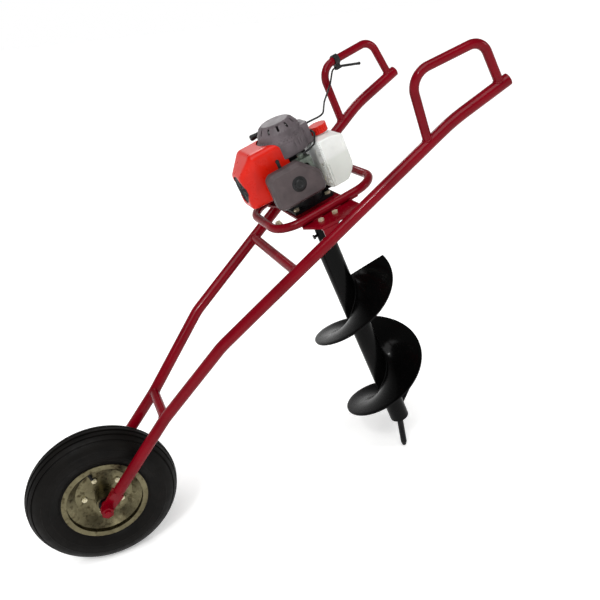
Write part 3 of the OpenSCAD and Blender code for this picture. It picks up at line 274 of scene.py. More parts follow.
@dataclass(frozen=True)
class MouldedPlastic(Finish):
    """Injection-moulded plastic: even colour, a fine eroded grain and slight flow clouds."""

    def paint(self, tree: bpy.types.NodeTree, shader: bpy.types.Node, spot: Socket) -> None:
        """Colours the plastic and its grain."""
        tree.links.new(self.clouded(tree, spot), shader.inputs["Base Color"])
        self.uneven_gloss(tree, shader, self.patches(tree, spot, self.sheen_mm, Band.SHEEN))
        cells = {"Vector": spot, "Scale": per_metre(self.grain_mm)}
        grain = add(tree, "ShaderNodeTexVoronoi", {"feature": "SMOOTH_F1"}, cells)
        self.relief(tree, shader, grain.outputs["Distance"])


@dataclass(frozen=True)
class BareMetal(Finish):
    """Plated, cast or machined metal: tinted mirror with drifting gloss, stains and a grainy relief."""

    stain: str = "#8a8a80"
    stains_per_cloud: float = 3.0
    metallic: float = 1.0

    def paint(self, tree: bpy.types.NodeTree, shader: bpy.types.Node, spot: Socket) -> None:
        """Colours the metal in three tones and roughens it."""
        stains = self.patches(tree, spot, self.cloud_mm / self.stains_per_cloud, Band.STAIN, detail=5.0)
        tones = {MIX_SHARE: stains, MIX_FROM: self.clouded(tree, spot), MIX_TO: linear(self.stain)}
        feeds = {MIX_RESULT: shader.inputs["Base Color"]}
        add(tree, "ShaderNodeMix", {"data_type": "RGBA"}, tones, feeds)
        shader.inputs["Metallic"].default_value = self.metallic
        self.uneven_gloss(tree, shader, self.patches(tree, spot, self.sheen_mm, Band.SHEEN))
        self.relief(tree, shader, self.patches(tree, spot, self.grain_mm, Band.BROAD))


@dataclass(frozen=True)
class MilkyTank(Finish):
    """Blow-moulded polyethylene: milky and translucent, a little darker up to the fuel's level."""

    sheen_mm: float = 15.0
    fuel: str = "#ced2ca"
    fuel_share: float = 0.7
    level_mm: float = 96.0
    level_blur_mm: float = 4.0
    milk: float = 0.3
    milk_mm: float = 6.0
    milk_tint: Point = (1.0, 0.95, 0.85)
    ior: float = 1.51

    def paint(self, tree: bpy.types.NodeTree, shader: bpy.types.Node, spot: Socket) -> None:
        """Colours the wall, the fuel behind it and the mould's faint ripple."""
        turned = add(tree, "ShaderNodeMapping", None, {"Vector": spot, "Rotation": (0.0, LEAN, 0.0)})
        parts = add(tree, "ShaderNodeSeparateXYZ", None, {"Vector": turned.outputs["Vector"]})
        base = PARKED.translation
        foot = base.z * math.cos(LEAN) - base.x * math.sin(LEAN)
        brim, blur = foot + self.level_mm * MM, self.level_blur_mm * MM
        fall = {
            "Value": parts.outputs["Z"], "From Min": brim + blur, "From Max": brim - blur,
            "To Max": self.fuel_share,
        }
        filled = add(tree, "ShaderNodeMapRange", None, fall).outputs["Result"]
        tones = {MIX_SHARE: filled, MIX_FROM: self.clouded(tree, spot), MIX_TO: linear(self.fuel)}
        feeds = {MIX_RESULT: shader.inputs["Base Color"]}
        add(tree, "ShaderNodeMix", {"data_type": "RGBA"}, tones, feeds)
        self.uneven_gloss(tree, shader, self.patches(tree, spot, self.sheen_mm, Band.SHEEN))
        self.relief(tree, shader, self.patches(tree, spot, self.grain_mm, Band.BROAD))
        shader.inputs["Subsurface Weight"].default_value = self.milk
        shader.inputs["Subsurface Radius"].default_value = self.milk_tint
        shader.inputs["Subsurface Scale"].default_value = self.milk_mm * MM
        shader.inputs["IOR"].default_value = self.ior


@dataclass(frozen=True)
class BraidedCord(Finish):
    """Braided cord: slanted strands with dark gaps between them."""

    lay_mm: float = 2.4
    slant: Point = (0.5, 0.6, 0.4)
    uneven: float = 0.6

    def paint(self, tree: bpy.types.NodeTree, shader: bpy.types.Node, spot: Socket) -> None:
        """Colours the strands and rounds them."""
        slant = add(tree, "ShaderNodeMapping", None, {"Vector": spot, "Rotation": self.slant})
        # At scale 1 a wave repeats 20 times in a length of one full turn, in radians.
        scale = per_metre(self.lay_mm) * math.tau / 20
        bands = {"Vector": slant.outputs["Vector"], "Scale": scale, "Distortion": self.uneven}
        wave = add(tree, "ShaderNodeTexWave", None, bands).outputs["Fac"]
        tones = {MIX_SHARE: wave, MIX_FROM: linear(self.shade), MIX_TO: linear(self.colour)}
        feeds = {MIX_RESULT: shader.inputs["Base Color"]}
        add(tree, "ShaderNodeMix", {"data_type": "RGBA"}, tones, feeds)
        self.uneven_gloss(tree, shader, wave)
        self.relief(tree, shader, wave)


# Deep crimson gloss with dark red in the shade and crisp highlights along the tubes
FRAME_ENAMEL = GlossEnamel(
    "crimson_gloss_enamel", "frame_paint", "#740112", "#62000d",
    rough=(0.2, 0.32), cloud_mm=90.0, grain_mm=2.5, grain_deep=0.03, gloss=0.04,
)
# Gloss black over mill scale, with a few dull flecks
AUGER_ENAMEL = GlossEnamel(
    "black_gloss_enamel", "auger_paint", "#030303", "#050505",
    rough=(0.2, 0.3), cloud_mm=70.0, grain_mm=3.0, grain_deep=0.05, gloss=0.02,
    fleck="#0e0d0c", coat=0.12, coat_rough=0.14,
)
# Bright zinc with a straw and green passivated bloom
ZINC = BareMetal(
    "zinc_plated_steel", "zinc_fastener", "#e0d8ba", "#cbc4a6",
    rough=(0.36, 0.52), cloud_mm=14.0, sheen_mm=2.8, grain_mm=0.8, grain_deep=0.02,
    stain="#a89c7a", metallic=0.6,
)
# Pressed rim: dull zinc, greenish, with brown handling stains
RIM_ZINC = BareMetal(
    "zinc_plated_sheet", "rim_steel", "#706a52", "#57513d",
    rough=(0.24, 0.44), cloud_mm=40.0, sheen_mm=8.0, grain_mm=1.6, grain_deep=0.03, stain="#3b3424",
)
# Turned steel with fine marks
STEEL = BareMetal(
    "turned_steel", "steel", "#b4b4b0", "#9c9c9a",
    rough=(0.28, 0.42), cloud_mm=20.0, sheen_mm=4.0, grain_mm=0.9, grain_deep=0.015, stain="#8c8a84",
)
# Ground bearing steel, close to a mirror
BEARING = BareMetal(
    "ground_bearing_steel", "bearing_steel", "#c2c2c0", "#b0b0ae",
    rough=(0.14, 0.26), cloud_mm=20.0, sheen_mm=4.0, grain_mm=0.6, grain_deep=0.008, stain="#a4a4a0",
)
# Die-cast alloy, grey-green and grainy
ALLOY = BareMetal(
    "die_cast_alloy", "alloy", "#7f877e", "#687067",
    rough=(0.42, 0.58), cloud_mm=16.0, sheen_mm=3.2, grain_mm=1.4, grain_deep=0.08, stain="#50574f",
)
# Cast housings under satin black paint. On the outlet guard the same black is also painted shade inside the
# air outlet.
BLACK_CASTING = MouldedPlastic(
    "satin_black_paint_on_casting", "black_casting", "#101012", "#171719",
    rough=(0.42, 0.56), cloud_mm=40.0, grain_mm=1.6, grain_deep=0.12, gloss=0.3,
)
# Blued steel, near black with a slight sheen. On the wheel bearings it is painted shade, for the hub's shadow.
BLACK_STEEL = BareMetal(
    "blackened_steel", "black_steel", "#1e1e20", "#141416",
    rough=(0.34, 0.5), cloud_mm=18.0, sheen_mm=3.6, grain_mm=1.0, grain_deep=0.02, stain="#2c2926",
)
# Muffler sheet: sooty with straw and blue heat tints
SOOT = BareMetal(
    "heat_tinted_sheet_steel", "sooty_steel", "#5a534b", "#3e3c3c",
    rough=(0.4, 0.6), cloud_mm=22.0, sheen_mm=4.4, grain_mm=1.2, grain_deep=0.04, stain="#2a2724",
)
# Dark grey nylon with a fine grain
DARK_PLASTIC = MouldedPlastic(
    "dark_grey_nylon", "dark_plastic", "#60575b", "#4c4548",
    rough=(0.4, 0.52), cloud_mm=35.0, grain_mm=0.9, grain_deep=0.05, gloss=0.3,
)
# Air filter's lid: charcoal polypropylene, darker and a little browner than the nylon
FILTER_PLASTIC = MouldedPlastic(
    "charcoal_polypropylene", "dark_plastic", "#4d4344", "#3d3536",
    rough=(0.42, 0.54), cloud_mm=35.0, grain_mm=0.9, grain_deep=0.05, gloss=0.3,
)
# Black nylon, satin
BLACK_PLASTIC = MouldedPlastic(
    "black_nylon", "black_plastic", "#0e0e0f", "#151516",
    rough=(0.38, 0.5), cloud_mm=30.0, grain_mm=0.9, grain_deep=0.04, gloss=0.3,
)
# Orange-red ABS, glossy
RED_PLASTIC = MouldedPlastic(
    "orange_red_abs", "red_plastic", "#ca1d0c", "#bc1608",
    rough=(0.26, 0.36), cloud_mm=45.0, grain_mm=1.1, grain_deep=0.02, gloss=0.2,
)
# Milky polyethylene
TANK_PLASTIC = MilkyTank(
    "milky_polyethylene", "tank_plastic", "#e6e8e4", "#dadcd8",
    rough=(0.34, 0.46), cloud_mm=30.0, grain_mm=6.0, grain_deep=0.12,
)
# Tyre rubber: near black, faintly grey where it is handled
TYRE_RUBBER = MouldedPlastic(
    "vulcanised_tyre_rubber", "tyre_rubber", "#070605", "#0d0b09",
    rough=(0.45, 0.62), cloud_mm=50.0, grain_mm=0.9, grain_deep=0.06, gloss=0.09,
)
# Inner tube and plug boot: soft black rubber with a faint bloom
TUBE_RUBBER = MouldedPlastic(
    "butyl_rubber", "tube_rubber", "#161617", "#1e1e1f",
    rough=(0.6, 0.75), cloud_mm=25.0, grain_mm=1.2, grain_deep=0.05, gloss=0.25,
)
# Brown sintered lining
LINING = MouldedPlastic(
    "friction_lining", "friction_lining", "#4a3c30", "#392f27",
    rough=(0.75, 0.9), cloud_mm=8.0, grain_mm=0.8, grain_deep=0.1,
)
# White glazed ceramic
CERAMIC = MouldedPlastic(
    "glazed_ceramic", "plug_ceramic", "#efece4", "#e4e0d6",
    rough=(0.12, 0.2), cloud_mm=15.0, grain_mm=2.0, grain_deep=0.01,
)
# Open polyurethane foam, olive, with visible cells
FOAM = MouldedPlastic(
    "open_cell_foam", "filter_foam", "#6a6a52", "#57573f",
    rough=(0.85, 0.95), cloud_mm=20.0, grain_mm=1.6, grain_deep=0.6,
)
# Fuel hose: amber, clear vinyl that has yellowed
HOSE = MouldedPlastic(
    "amber_vinyl_hose", "tank_plastic", "#b89a3a", "#a88a30",
    rough=(0.2, 0.32), cloud_mm=15.0, grain_mm=3.0, grain_deep=0.03,
)
# Starter rope: white nylon braid gone grey
ROPE = BraidedCord(
    "nylon_braid", "black_plastic", "#c8c4ba", "#77736a", rough=(0.6, 0.8), grain_deep=0.25
)
# Studio floor: matt paper, close to white. It is no part of the object, so it has no slot.
PAPER = Finish(
    "pale_studio_paper", "", "#fdfdfc", "#fbfbfa",
    rough=(0.8, 0.9), cloud_mm=800.0, sheen_mm=266.7, grain_mm=4.0, grain_deep=0.02, gloss=0.2,
)


def deselect() -> None:
    """Leaves edit mode and clears the selection."""
    if bpy.context.mode != "OBJECT":
        bpy.ops.object.mode_set(mode="OBJECT")
    bpy.ops.object.select_all(action="DESELECT")


def take(obj: bpy.types.Object) -> bpy.types.Object:
    """Makes an object the only selected one, and active."""
    deselect()
    obj.select_set(True)
    bpy.context.view_layer.objects.active = obj
    return obj


def shape(obj: bpy.types.Object, test: Callable[[bpy.types.MeshPolygon], bool] | None = None) -> None:
    """Enters edit mode with some faces selected.

    Args:
        obj: The piece.
        test: Says whether a face is selected. Without it, all are.
    """
    take(obj)
    bpy.ops.object.mode_set(mode="EDIT")
    bpy.ops.mesh.select_mode(type="FACE")
    bpy.ops.mesh.select_all(action="SELECT" if test is None else "DESELECT")
    if test is not None:
        bpy.ops.object.mode_set(mode="OBJECT")
        for face in obj.data.polygons:
            face.select = test(face)
        bpy.ops.object.mode_set(mode="EDIT")


def closed_up(obj: bpy.types.Object) -> bpy.types.Object:
    """Merges doubled points and turns all faces outwards."""
    shape(obj)
    bpy.ops.mesh.remove_doubles(threshold=MERGE_MM * MM)
    bpy.ops.mesh.normals_make_consistent(inside=False)
    bpy.ops.object.mode_set(mode="OBJECT")
    return obj


def press(obj: bpy.types.Object, kind: str, **settings: object) -> bpy.types.Object:
    """Adds a modifier, sets it and applies it."""
    take(obj)
    modifier = obj.modifiers.new(kind.lower(), kind)
    for name, value in settings.items():
        setattr(modifier, name, value)
    bpy.ops.object.modifier_apply(modifier=modifier.name)
    return obj


def smooth(obj: bpy.types.Object, angle: float = 35.0) -> bpy.types.Object:
    """Shades a piece smooth, apart from edges sharper than an angle in degrees."""
    take(obj)
    bpy.ops.object.shade_smooth_by_angle(angle=math.radians(angle))
    return obj


def settle(obj: bpy.types.Object, place: Matrix) -> bpy.types.Object:
    """Moves a piece to its place and keeps that place in its mesh."""
    obj.matrix_world = place @ obj.matrix_world
    take(obj)
    bpy.ops.object.transform_apply(location=True, rotation=True, scale=True)
    return obj


def stroke(name: str, points: Sequence[Point]) -> bpy.types.Object:
    """Draws a line of edges by pulling one vertex from point to point.

    Args:
        name: Name of the piece.
        points: Corners of the line, in millimetres.

    Returns:
        The new object, with its place in its mesh.
    """
    deselect()
    bpy.ops.mesh.primitive_plane_add(size=MM, location=Vector(points[0]) * MM)
    obj = bpy.context.object
    obj.name = name
    bpy.ops.object.mode_set(mode="EDIT")
    bpy.ops.mesh.select_mode(type="VERT")
    bpy.ops.mesh.merge(type="CENTER")
    for a, b in zip(points, points[1:]):
        step = (Vector(b) - Vector(a)) * MM
        bpy.ops.mesh.extrude_vertices_move(TRANSFORM_OT_translate={"value": step})
    return settle(obj, Matrix.Identity(4))


def lathe(name: str, profile: Sequence[tuple[float, float]], steps: int = 64) -> bpy.types.Object:
    """Turns a closed profile around Z.

    Args:
        name: Name of the piece.
        profile: Corners as radius and height, in millimetres.
        steps: Faces around.

    Returns:
        The turned piece, closed and facing outwards.
    """
    obj = stroke(name, [(r, 0.0, z) for r, z in [*profile, profile[0]]])
    take(obj)
    bpy.ops.object.mode_set(mode="EDIT")
    bpy.ops.mesh.select_all(action="SELECT")
    bpy.ops.mesh.spin(steps=steps, angle=math.tau, center=(0, 0, 0), axis=(0, 0, 1))
    return closed_up(obj)


def joined(obj: bpy.types.Object, other: bpy.types.Object) -> bpy.types.Object:
    """Joins a second piece into the first."""
    take(obj)
    other.select_set(True)
    bpy.ops.object.join()
    return obj


def sunk(
    obj: bpy.types.Object, test: Callable[[bpy.types.MeshPolygon], bool], rim_mm: float, deep_mm: float
) -> bpy.types.Object:
    """Sinks some faces of a piece behind a narrow rim.

    Args:
        obj: The piece.
        test: Says whether a face is sunk.
        rim_mm: Width of the rim.
        deep_mm: Depth of the hollow.

    Returns:
        The piece, shaded smooth.
    """
    shape(obj, test)
    bpy.ops.mesh.inset(thickness=rim_mm * MM, depth=-deep_mm * MM, use_even_offset=True)
    bpy.ops.object.mode_set(mode="OBJECT")
    return smooth(obj)


def sector(face: bpy.types.MeshPolygon, steps: int) -> int:
    """Counts which of so many equal sectors around Z a face lies in."""
    return int(math.degrees(math.atan2(face.center.y, face.center.x)) % 360 / (360 / steps))


def round_curve(name: str, line: Sequence[Vector], radius_mm: float, fineness: int) -> bpy.types.Object:
    """Makes a round curve through points of the row frame.

    Args:
        name: Name of the piece.
        line: Points in the row frame.
        radius_mm: Radius of the curve's section.
        fineness: Bevel resolution of the section.

    Returns:
        The new curve, with closed ends.
    """
    deselect()
    bpy.ops.curve.primitive_nurbs_path_add()
    obj = bpy.context.object
    obj.name = name
    curve = obj.data
    curve.splines.clear()
    spline = curve.splines.new("POLY")
    spline.points.add(len(line) - 1)
    for dot, p in zip(spline.points, line):
        dot.co = (*p, 1.0)
    spline.use_smooth = True
    curve.bevel_depth = radius_mm * MM
    curve.bevel_resolution = fineness
    curve.use_fill_caps = True
    return obj


def bead(name: str, line: Sequence[Vector], radius_mm: float, loop: bool) -> bpy.types.Object:
    """Lays a rippled weld bead along a line.

    Args:
        name: Name of the piece.
        line: Points in the row frame.
        radius_mm: Half the bead's width.
        loop: Whether the line closes on itself.

    Returns:
        The bead as a mesh.
    """
    obj = round_curve(name, line, radius_mm, BEAD_FINENESS)
    spline = obj.data.splines[0]
    for i, dot in enumerate(spline.points):
        dot.radius = 1 - RIPPLE_DEEP + RIPPLE_DEEP * abs(math.sin(RIPPLE_STEP * i))
    spline.use_cyclic_u = loop
    take(obj)
    bpy.ops.object.convert(target="MESH")
    obj = bpy.context.object
    closed_up(obj)
    return smooth(obj, 60.0)


def rounded_copy(node: str, name: str, voxel_mm: float, rounds: int) -> bpy.types.Object:
    """Copies a solid, gives it an even skin and eases its edges, as a mould does.

    Args:
        node: Name of the solid.
        name: Name of the new piece.
        voxel_mm: Width of the new skin's faces.
        rounds: Passes of easing.

    Returns:
        The new piece.
    """
    take(bpy.data.objects[node])
    bpy.ops.object.duplicate()
    obj = bpy.context.object
    obj.parent = None
    obj.name = name
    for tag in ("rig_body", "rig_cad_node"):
        del obj[tag]
    closed_up(obj)
    take(obj)
    obj.data.remesh_voxel_size = voxel_mm * MM
    bpy.ops.object.voxel_remesh()
    press(obj, "SMOOTH", factor=0.5, iterations=rounds)
    bpy.ops.object.shade_smooth()
    return obj


def dress(obj: bpy.types.Object, finish: Finish, body: Body, *stands_for: str) -> bpy.types.Object:
    """Gives a new piece its finish and its body, and hides the solids that it stands for."""
    obj.data.materials.clear()
    obj.data.materials.append(finish.material())
    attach(obj, body.value)
    if stands_for:
        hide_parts(*stands_for)
    LOG.info("%s on %s in %s", obj.name, body.value, finish.name)
    return obj


def dress_solids(finish: Finish, *nodes: str) -> None:
    """Gives solids that stay in view their finish."""
    for node in nodes:
        obj = bpy.data.objects[node]
        for holder in obj.material_slots:
            holder.material = finish.material()
        LOG.info("%s in %s", node, finish.name)


@dataclass(frozen=True)
class Moulding:
    """A solid whose edges are eased as a mould does: the piece that stands for it, its skin and its finish."""

    node: str
    name: str
    voxel_mm: float
    rounds: int
    finish: Finish
    body: Body = Body.FRAME

    def make(self) -> bpy.types.Object:
        """Makes the eased piece and dresses it."""
        obj = rounded_copy(self.node, self.name, self.voxel_mm, self.rounds)
        return dress(obj, self.finish, self.body, self.node)


def bent_line(path: Sequence[Point], bends: Sequence[float], step_mm: float) -> list[Vector]:
    """Rounds the corners of a route.

    Args:
        path: Corners, in millimetres.
        bends: Bend radius at each inner corner.
        step_mm: Longest spacing of the points.

    Returns:
        Points along the route, in the row frame.
    """
    corners = [Vector(p) for p in path]
    line = [corners[0]]
    for before, at, after, bend in zip(corners, corners[1:], corners[2:], bends):
        u, v = (at - before).normalized(), (after - at).normalized()
        turn = u.angle(v)
        inward = (v - u * u.dot(v)).normalized()
        start = at - u * bend * math.tan(turn / 2)
        centre = start + inward * bend
        count = max(2, math.ceil(bend * turn / step_mm))
        for i in range(count + 1):
            a = turn * i / count
            line.append(centre - inward * bend * math.cos(a) + u * bend * math.sin(a))
    line.append(corners[-1])
    fine = [line[0]]
    for a, b in zip(line, line[1:]):
        count = max(1, math.ceil((b - a).length / step_mm))
        fine += [a.lerp(b, i / count) for i in range(1, count + 1)]
    return [parked(p) for p in fine]


@dataclass
class BarrowFrame:
    """The welded tubes, the plate and the bolts, with their weld beads. Sizes are in millimetres."""

    arm_r: float = 15.0
    cross_r: float = 13.0
    loop_r: float = 11.0
    bead_r: float = 2.6
    bead_steps: int = 72
    fork: Point = (-605.0, 75.5, -294.0)
    bend: Point = (-389.0, 125.0, -170.0)
    rear: Point = (327.0, 240.0, 95.0)
    end: Point = (484.0, 259.0, 124.0)
    cross_x: float = -143.0
    loop_front: float = 258.0
    loop_rear: float = 462.0
    loop_top: float = 238.0
    loop_lean: float = 10.0
    front_rake: float = 1.0
    rear_rake: float = 22.0
    ring_half: float = 120.0
    ring_weld_r: float = 2.4
    ring_weld_x: tuple[float, ...] = (-44.0, 8.0, 60.0)
    ring_weld_z: float = 1.6
    ring_weld_off: float = 7.6
    ring_weld_step: float = 1.5
    ring_weld_steps: int = 18
    lug: Point = (-109.0, -52.0, 8.5)
    lug_size: Point = (21.0, 22.0, 4.5)
    lug_back: float = 2.5
    lug_ease: float = 0.8
    bolt_profile: Profile = (
        (0.0, -9.0), (3.2, -9.0), (4.0, -8.2), (4.0, 0.0), (9.0, 0.0), (9.0, 1.2), (8.6, 1.6), (0.0, 1.6),
    )
    bolt_steps: int = 36
    head_r: float = 7.5
    head_high: float = 5.4
    head_mid: float = 4.2
    head_rim: float = 1.1
    head_crown: float = 0.6

    def on_run(self, a: Point, b: Point, x: float) -> Vector:
        """Finds the point of a straight run at a place along the machine."""
        start, stop = Vector(a), Vector(b)
        return start.lerp(stop, (x - start.x) / (stop.x - start.x))

    def saddle(self, foot: Vector, away: Vector, tube_r: float, run: Vector, side: Side) -> list[Vector]:
        """Traces where a tube's skin meets an arm.

        Args:
            foot: Where the two centre lines meet, on the right side.
            away: Direction of the tube, away from the arm.
            tube_r: Radius of the tube.
            run: Direction of the arm.
            side: Side of the machine.

        Returns:
            A closed line in the row frame.
        """
        u, a = away.normalized(), run.normalized()
        across = u.orthogonal().normalized()
        over = u.cross(across)
        line = []
        for i in range(self.bead_steps):
            t = math.tau * i / self.bead_steps
            spoke = across * (tube_r * math.cos(t)) + over * (tube_r * math.sin(t))
            d, m = u - a * u.dot(a), spoke - a * spoke.dot(a)
            inside = m.dot(d) ** 2 - d.dot(d) * (m.dot(m) - self.arm_r**2)
            p = foot + spoke + u * ((-m.dot(d) + math.sqrt(max(inside, 0.0))) / d.dot(d))
            line.append(parked((p.x, p.y * side.value, p.z)))
        return line

    def build(self) -> list[bpy.types.Object]:
        """Lays the beads at the cross tubes, the loops and the ring."""
        fork_run = Vector(self.bend) - Vector(self.fork)
        main_run = Vector(self.rear) - Vector(self.bend)
        tail_run = Vector(self.end) - Vector(self.rear)
        cross = self.on_run(self.bend, self.rear, self.cross_x)
        foot = self.on_run(self.bend, self.rear, self.loop_front)
        heel = self.on_run(self.rear, self.end, self.loop_rear)
        front_top = (self.loop_front - self.front_rake, foot.y + self.loop_lean, self.loop_top)
        rear_top = (self.loop_rear - self.rear_rake, heel.y + self.loop_lean / 2, self.loop_top)
        inwards = Vector((0, -1, 0))
        joints = {
            "fork_bridge": (Vector(self.fork), inwards, self.cross_r, fork_run),
            "cross_tube": (cross, inwards, self.cross_r, main_run),
            "loop_front": (foot, Vector(front_top) - foot, self.loop_r, main_run),
            "loop_rear": (heel, Vector(rear_top) - heel, self.loop_r, tail_run),
        }
        made = []
        for side in Side:
            for name, (at, away, tube_r, run) in joints.items():
                line = self.saddle(at, away, tube_r, run, side)
                made.append(bead(f"weld_{name}_{side.name.lower()}", line, self.bead_r, True))
            made += self.build_ring_welds(side)
        return made

    def build_ring_welds(self, side: Side) -> list[bpy.types.Object]:
        """Lays the short beads along one side of the ring, on the plate."""
        made = []
        for i, x in enumerate(self.ring_weld_x):
            for j, off in enumerate((-self.ring_weld_off, self.ring_weld_off)):
                y = side.value * self.ring_half + off
                steps = range(self.ring_weld_steps + 1)
                line = [parked((x + self.ring_weld_step * k, y, self.ring_weld_z)) for k in steps]
                made.append(bead(f"weld_ring_{side.name.lower()}_{i}{j}", line, self.ring_weld_r, False))
        return made

    def build_lug(self) -> tuple[bpy.types.Object, bpy.types.Object]:
        """Makes the small tab inside the ring's front corner, and its bolt."""
        x, y, z = self.lug
        deselect()
        bpy.ops.mesh.primitive_cube_add(size=1.0, location=(0, 0, 0))
        tab = bpy.context.object
        tab.name = "ring_lug"
        middle = Vector((x - self.lug_back, y, z - self.lug_size[2] / 2)) * MM
        settle(tab, Matrix.Translation(middle) @ Matrix.Diagonal((*(Vector(self.lug_size) * MM), 1)))
        press(tab, "BEVEL", width=self.lug_ease * MM, segments=2)
        smooth(tab, 40.0)
        settle(tab, PARKED)
        bolt = lathe("ring_lug_bolt", self.bolt_profile, self.bolt_steps)
        deselect()
        bpy.ops.mesh.primitive_cylinder_add(
            vertices=6, radius=self.head_r * MM, depth=self.head_high * MM, location=(0, 0, self.head_mid * MM)
        )
        head = bpy.context.object
        shape(head, lambda face: face.normal.z > FACING)
        bpy.ops.mesh.inset(thickness=self.head_rim * MM, depth=self.head_crown * MM)
        smooth(joined(bolt, head), 30.0)
        settle(bolt, PARKED @ Matrix.Translation(Vector(self.lug) * MM))
        return tab, bolt

    def dress(self, made: list[bpy.types.Object]) -> None:
        """Paints the tubes and the beads, and plates the bolts."""
        tab, bolt = self.build_lug()
        for obj in (*made, tab):
            dress(obj, FRAME_ENAMEL, Body.FRAME)
        dress(bolt, ZINC, Body.FRAME)
        dress_solids(
            FRAME_ENAMEL, "left_arm", "right_arm", "fork_bridge", "middle_cross_tube", "mounting_ring",
            "base_plate", "gussets", "left_handle_loop", "right_handle_loop", "axle", "axle_hardware",
        )
        dress_solids(ZINC, "base_bolts")


@dataclass
class FrontWheel:
    """Ribbed tyre on a two-piece pressed rim. Sizes are in millimetres, angles in degrees off the crown."""

    centre: Point = (-857.0, 0.0, -440.0)
    section_c: float = 150.0
    section_r: float = 50.0
    section_half: float = 132.0
    bead_seat: float = 101.8
    bead_half: float = 37.6
    toe_wide: float = 9.0
    wall: float = 7.0
    inner_half: int = 125
    inner_step: int = 10
    groove_angles: tuple[float, ...] = (-47.0, -28.0, -9.5, 9.5, 28.0, 47.0)
    groove_half: float = 2.6
    groove_deep: float = 4.0
    groove_fade: float = 0.008
    crown_half: float = 50.0
    rib_shoulder: float = 7.0
    shoulder_drop: float = 0.15
    mould_rings: tuple[tuple[float, float], ...] = ((76.0, 80.0), (100.0, 103.0))
    ring_high: float = 0.54
    groove_margin: float = 1.2
    ring_margin: float = 2.0
    fine_step: float = 1.0
    coarse_step: float = 3.0
    steps: int = 150

    def place(self) -> Matrix:
        """Gives the wheel's frame: its axis along the machine's width."""
        return Matrix.Translation(parked(self.centre)) @ Matrix.Rotation(-math.pi / 2, 4, "X")

    def corner(self, r: float, angle: float) -> tuple[float, float]:
        """Finds a point of the tyre's section, as its distance from the axle and from the middle."""
        return self.section_c + r * math.cos(math.radians(angle)), r * math.sin(math.radians(angle))

    def on_ring(self, angle: float, margin: float) -> bool:
        """Says whether an angle lies on a mould ring, or that close to one."""
        return any(low - margin < abs(angle) < high + margin for low, high in self.mould_rings)

    def profile(self) -> list[tuple[float, float]]:
        """Draws the tyre's section: ribs on the crown, mould rings on the walls, beads at the rim."""
        outer = []
        angle = -self.section_half
        while angle <= self.section_half:
            off = min(abs(angle - g) for g in self.groove_angles)
            r = self.section_r
            if off < self.groove_half:
                r -= self.groove_deep * (1 - self.groove_fade * abs(angle))
            if self.on_ring(angle, 0.0):
                r += self.ring_high
            if abs(angle) >= self.crown_half or off <= self.rib_shoulder:
                r -= self.shoulder_drop
            outer.append(self.corner(r, angle))
            near = off < self.groove_half + self.groove_margin or self.on_ring(angle, self.ring_margin)
            angle += self.fine_step if near else self.coarse_step
        toe = [(self.bead_seat, self.bead_half), (self.bead_seat, self.bead_half - self.toe_wide)]
        inner_angles = range(self.inner_half, -self.inner_half - 1, -self.inner_step)
        inner = [self.corner(self.section_r - self.wall, a) for a in inner_angles]
        return [*outer, *toe, *inner, *[(r, -z) for r, z in reversed(toe)]]

    def build(self) -> bpy.types.Object:
        """Turns the ribbed tyre."""
        tyre = lathe("tyre_ribbed", self.profile(), self.steps)
        smooth(tyre, 28.0)
        return settle(tyre, self.place())

    def dress(self, tyre: bpy.types.Object) -> None:
        """Finishes the tyre, the rim and the hub."""
        dress(tyre, TYRE_RUBBER, Body.WHEEL, "tyre")
        dress_solids(RIM_ZINC, "rim_left", "rim_right", "wheel_hub")
        dress_solids(ZINC, "rim_bolts")
        # Near-black steel on the wheel bearings is painted shade: it darkens the hub's ends, which lie in the
        # shadow between arm and hub.
        dress_solids(BLACK_STEEL, "wheel_bearings")
        dress_solids(TUBE_RUBBER, "inner_tube")


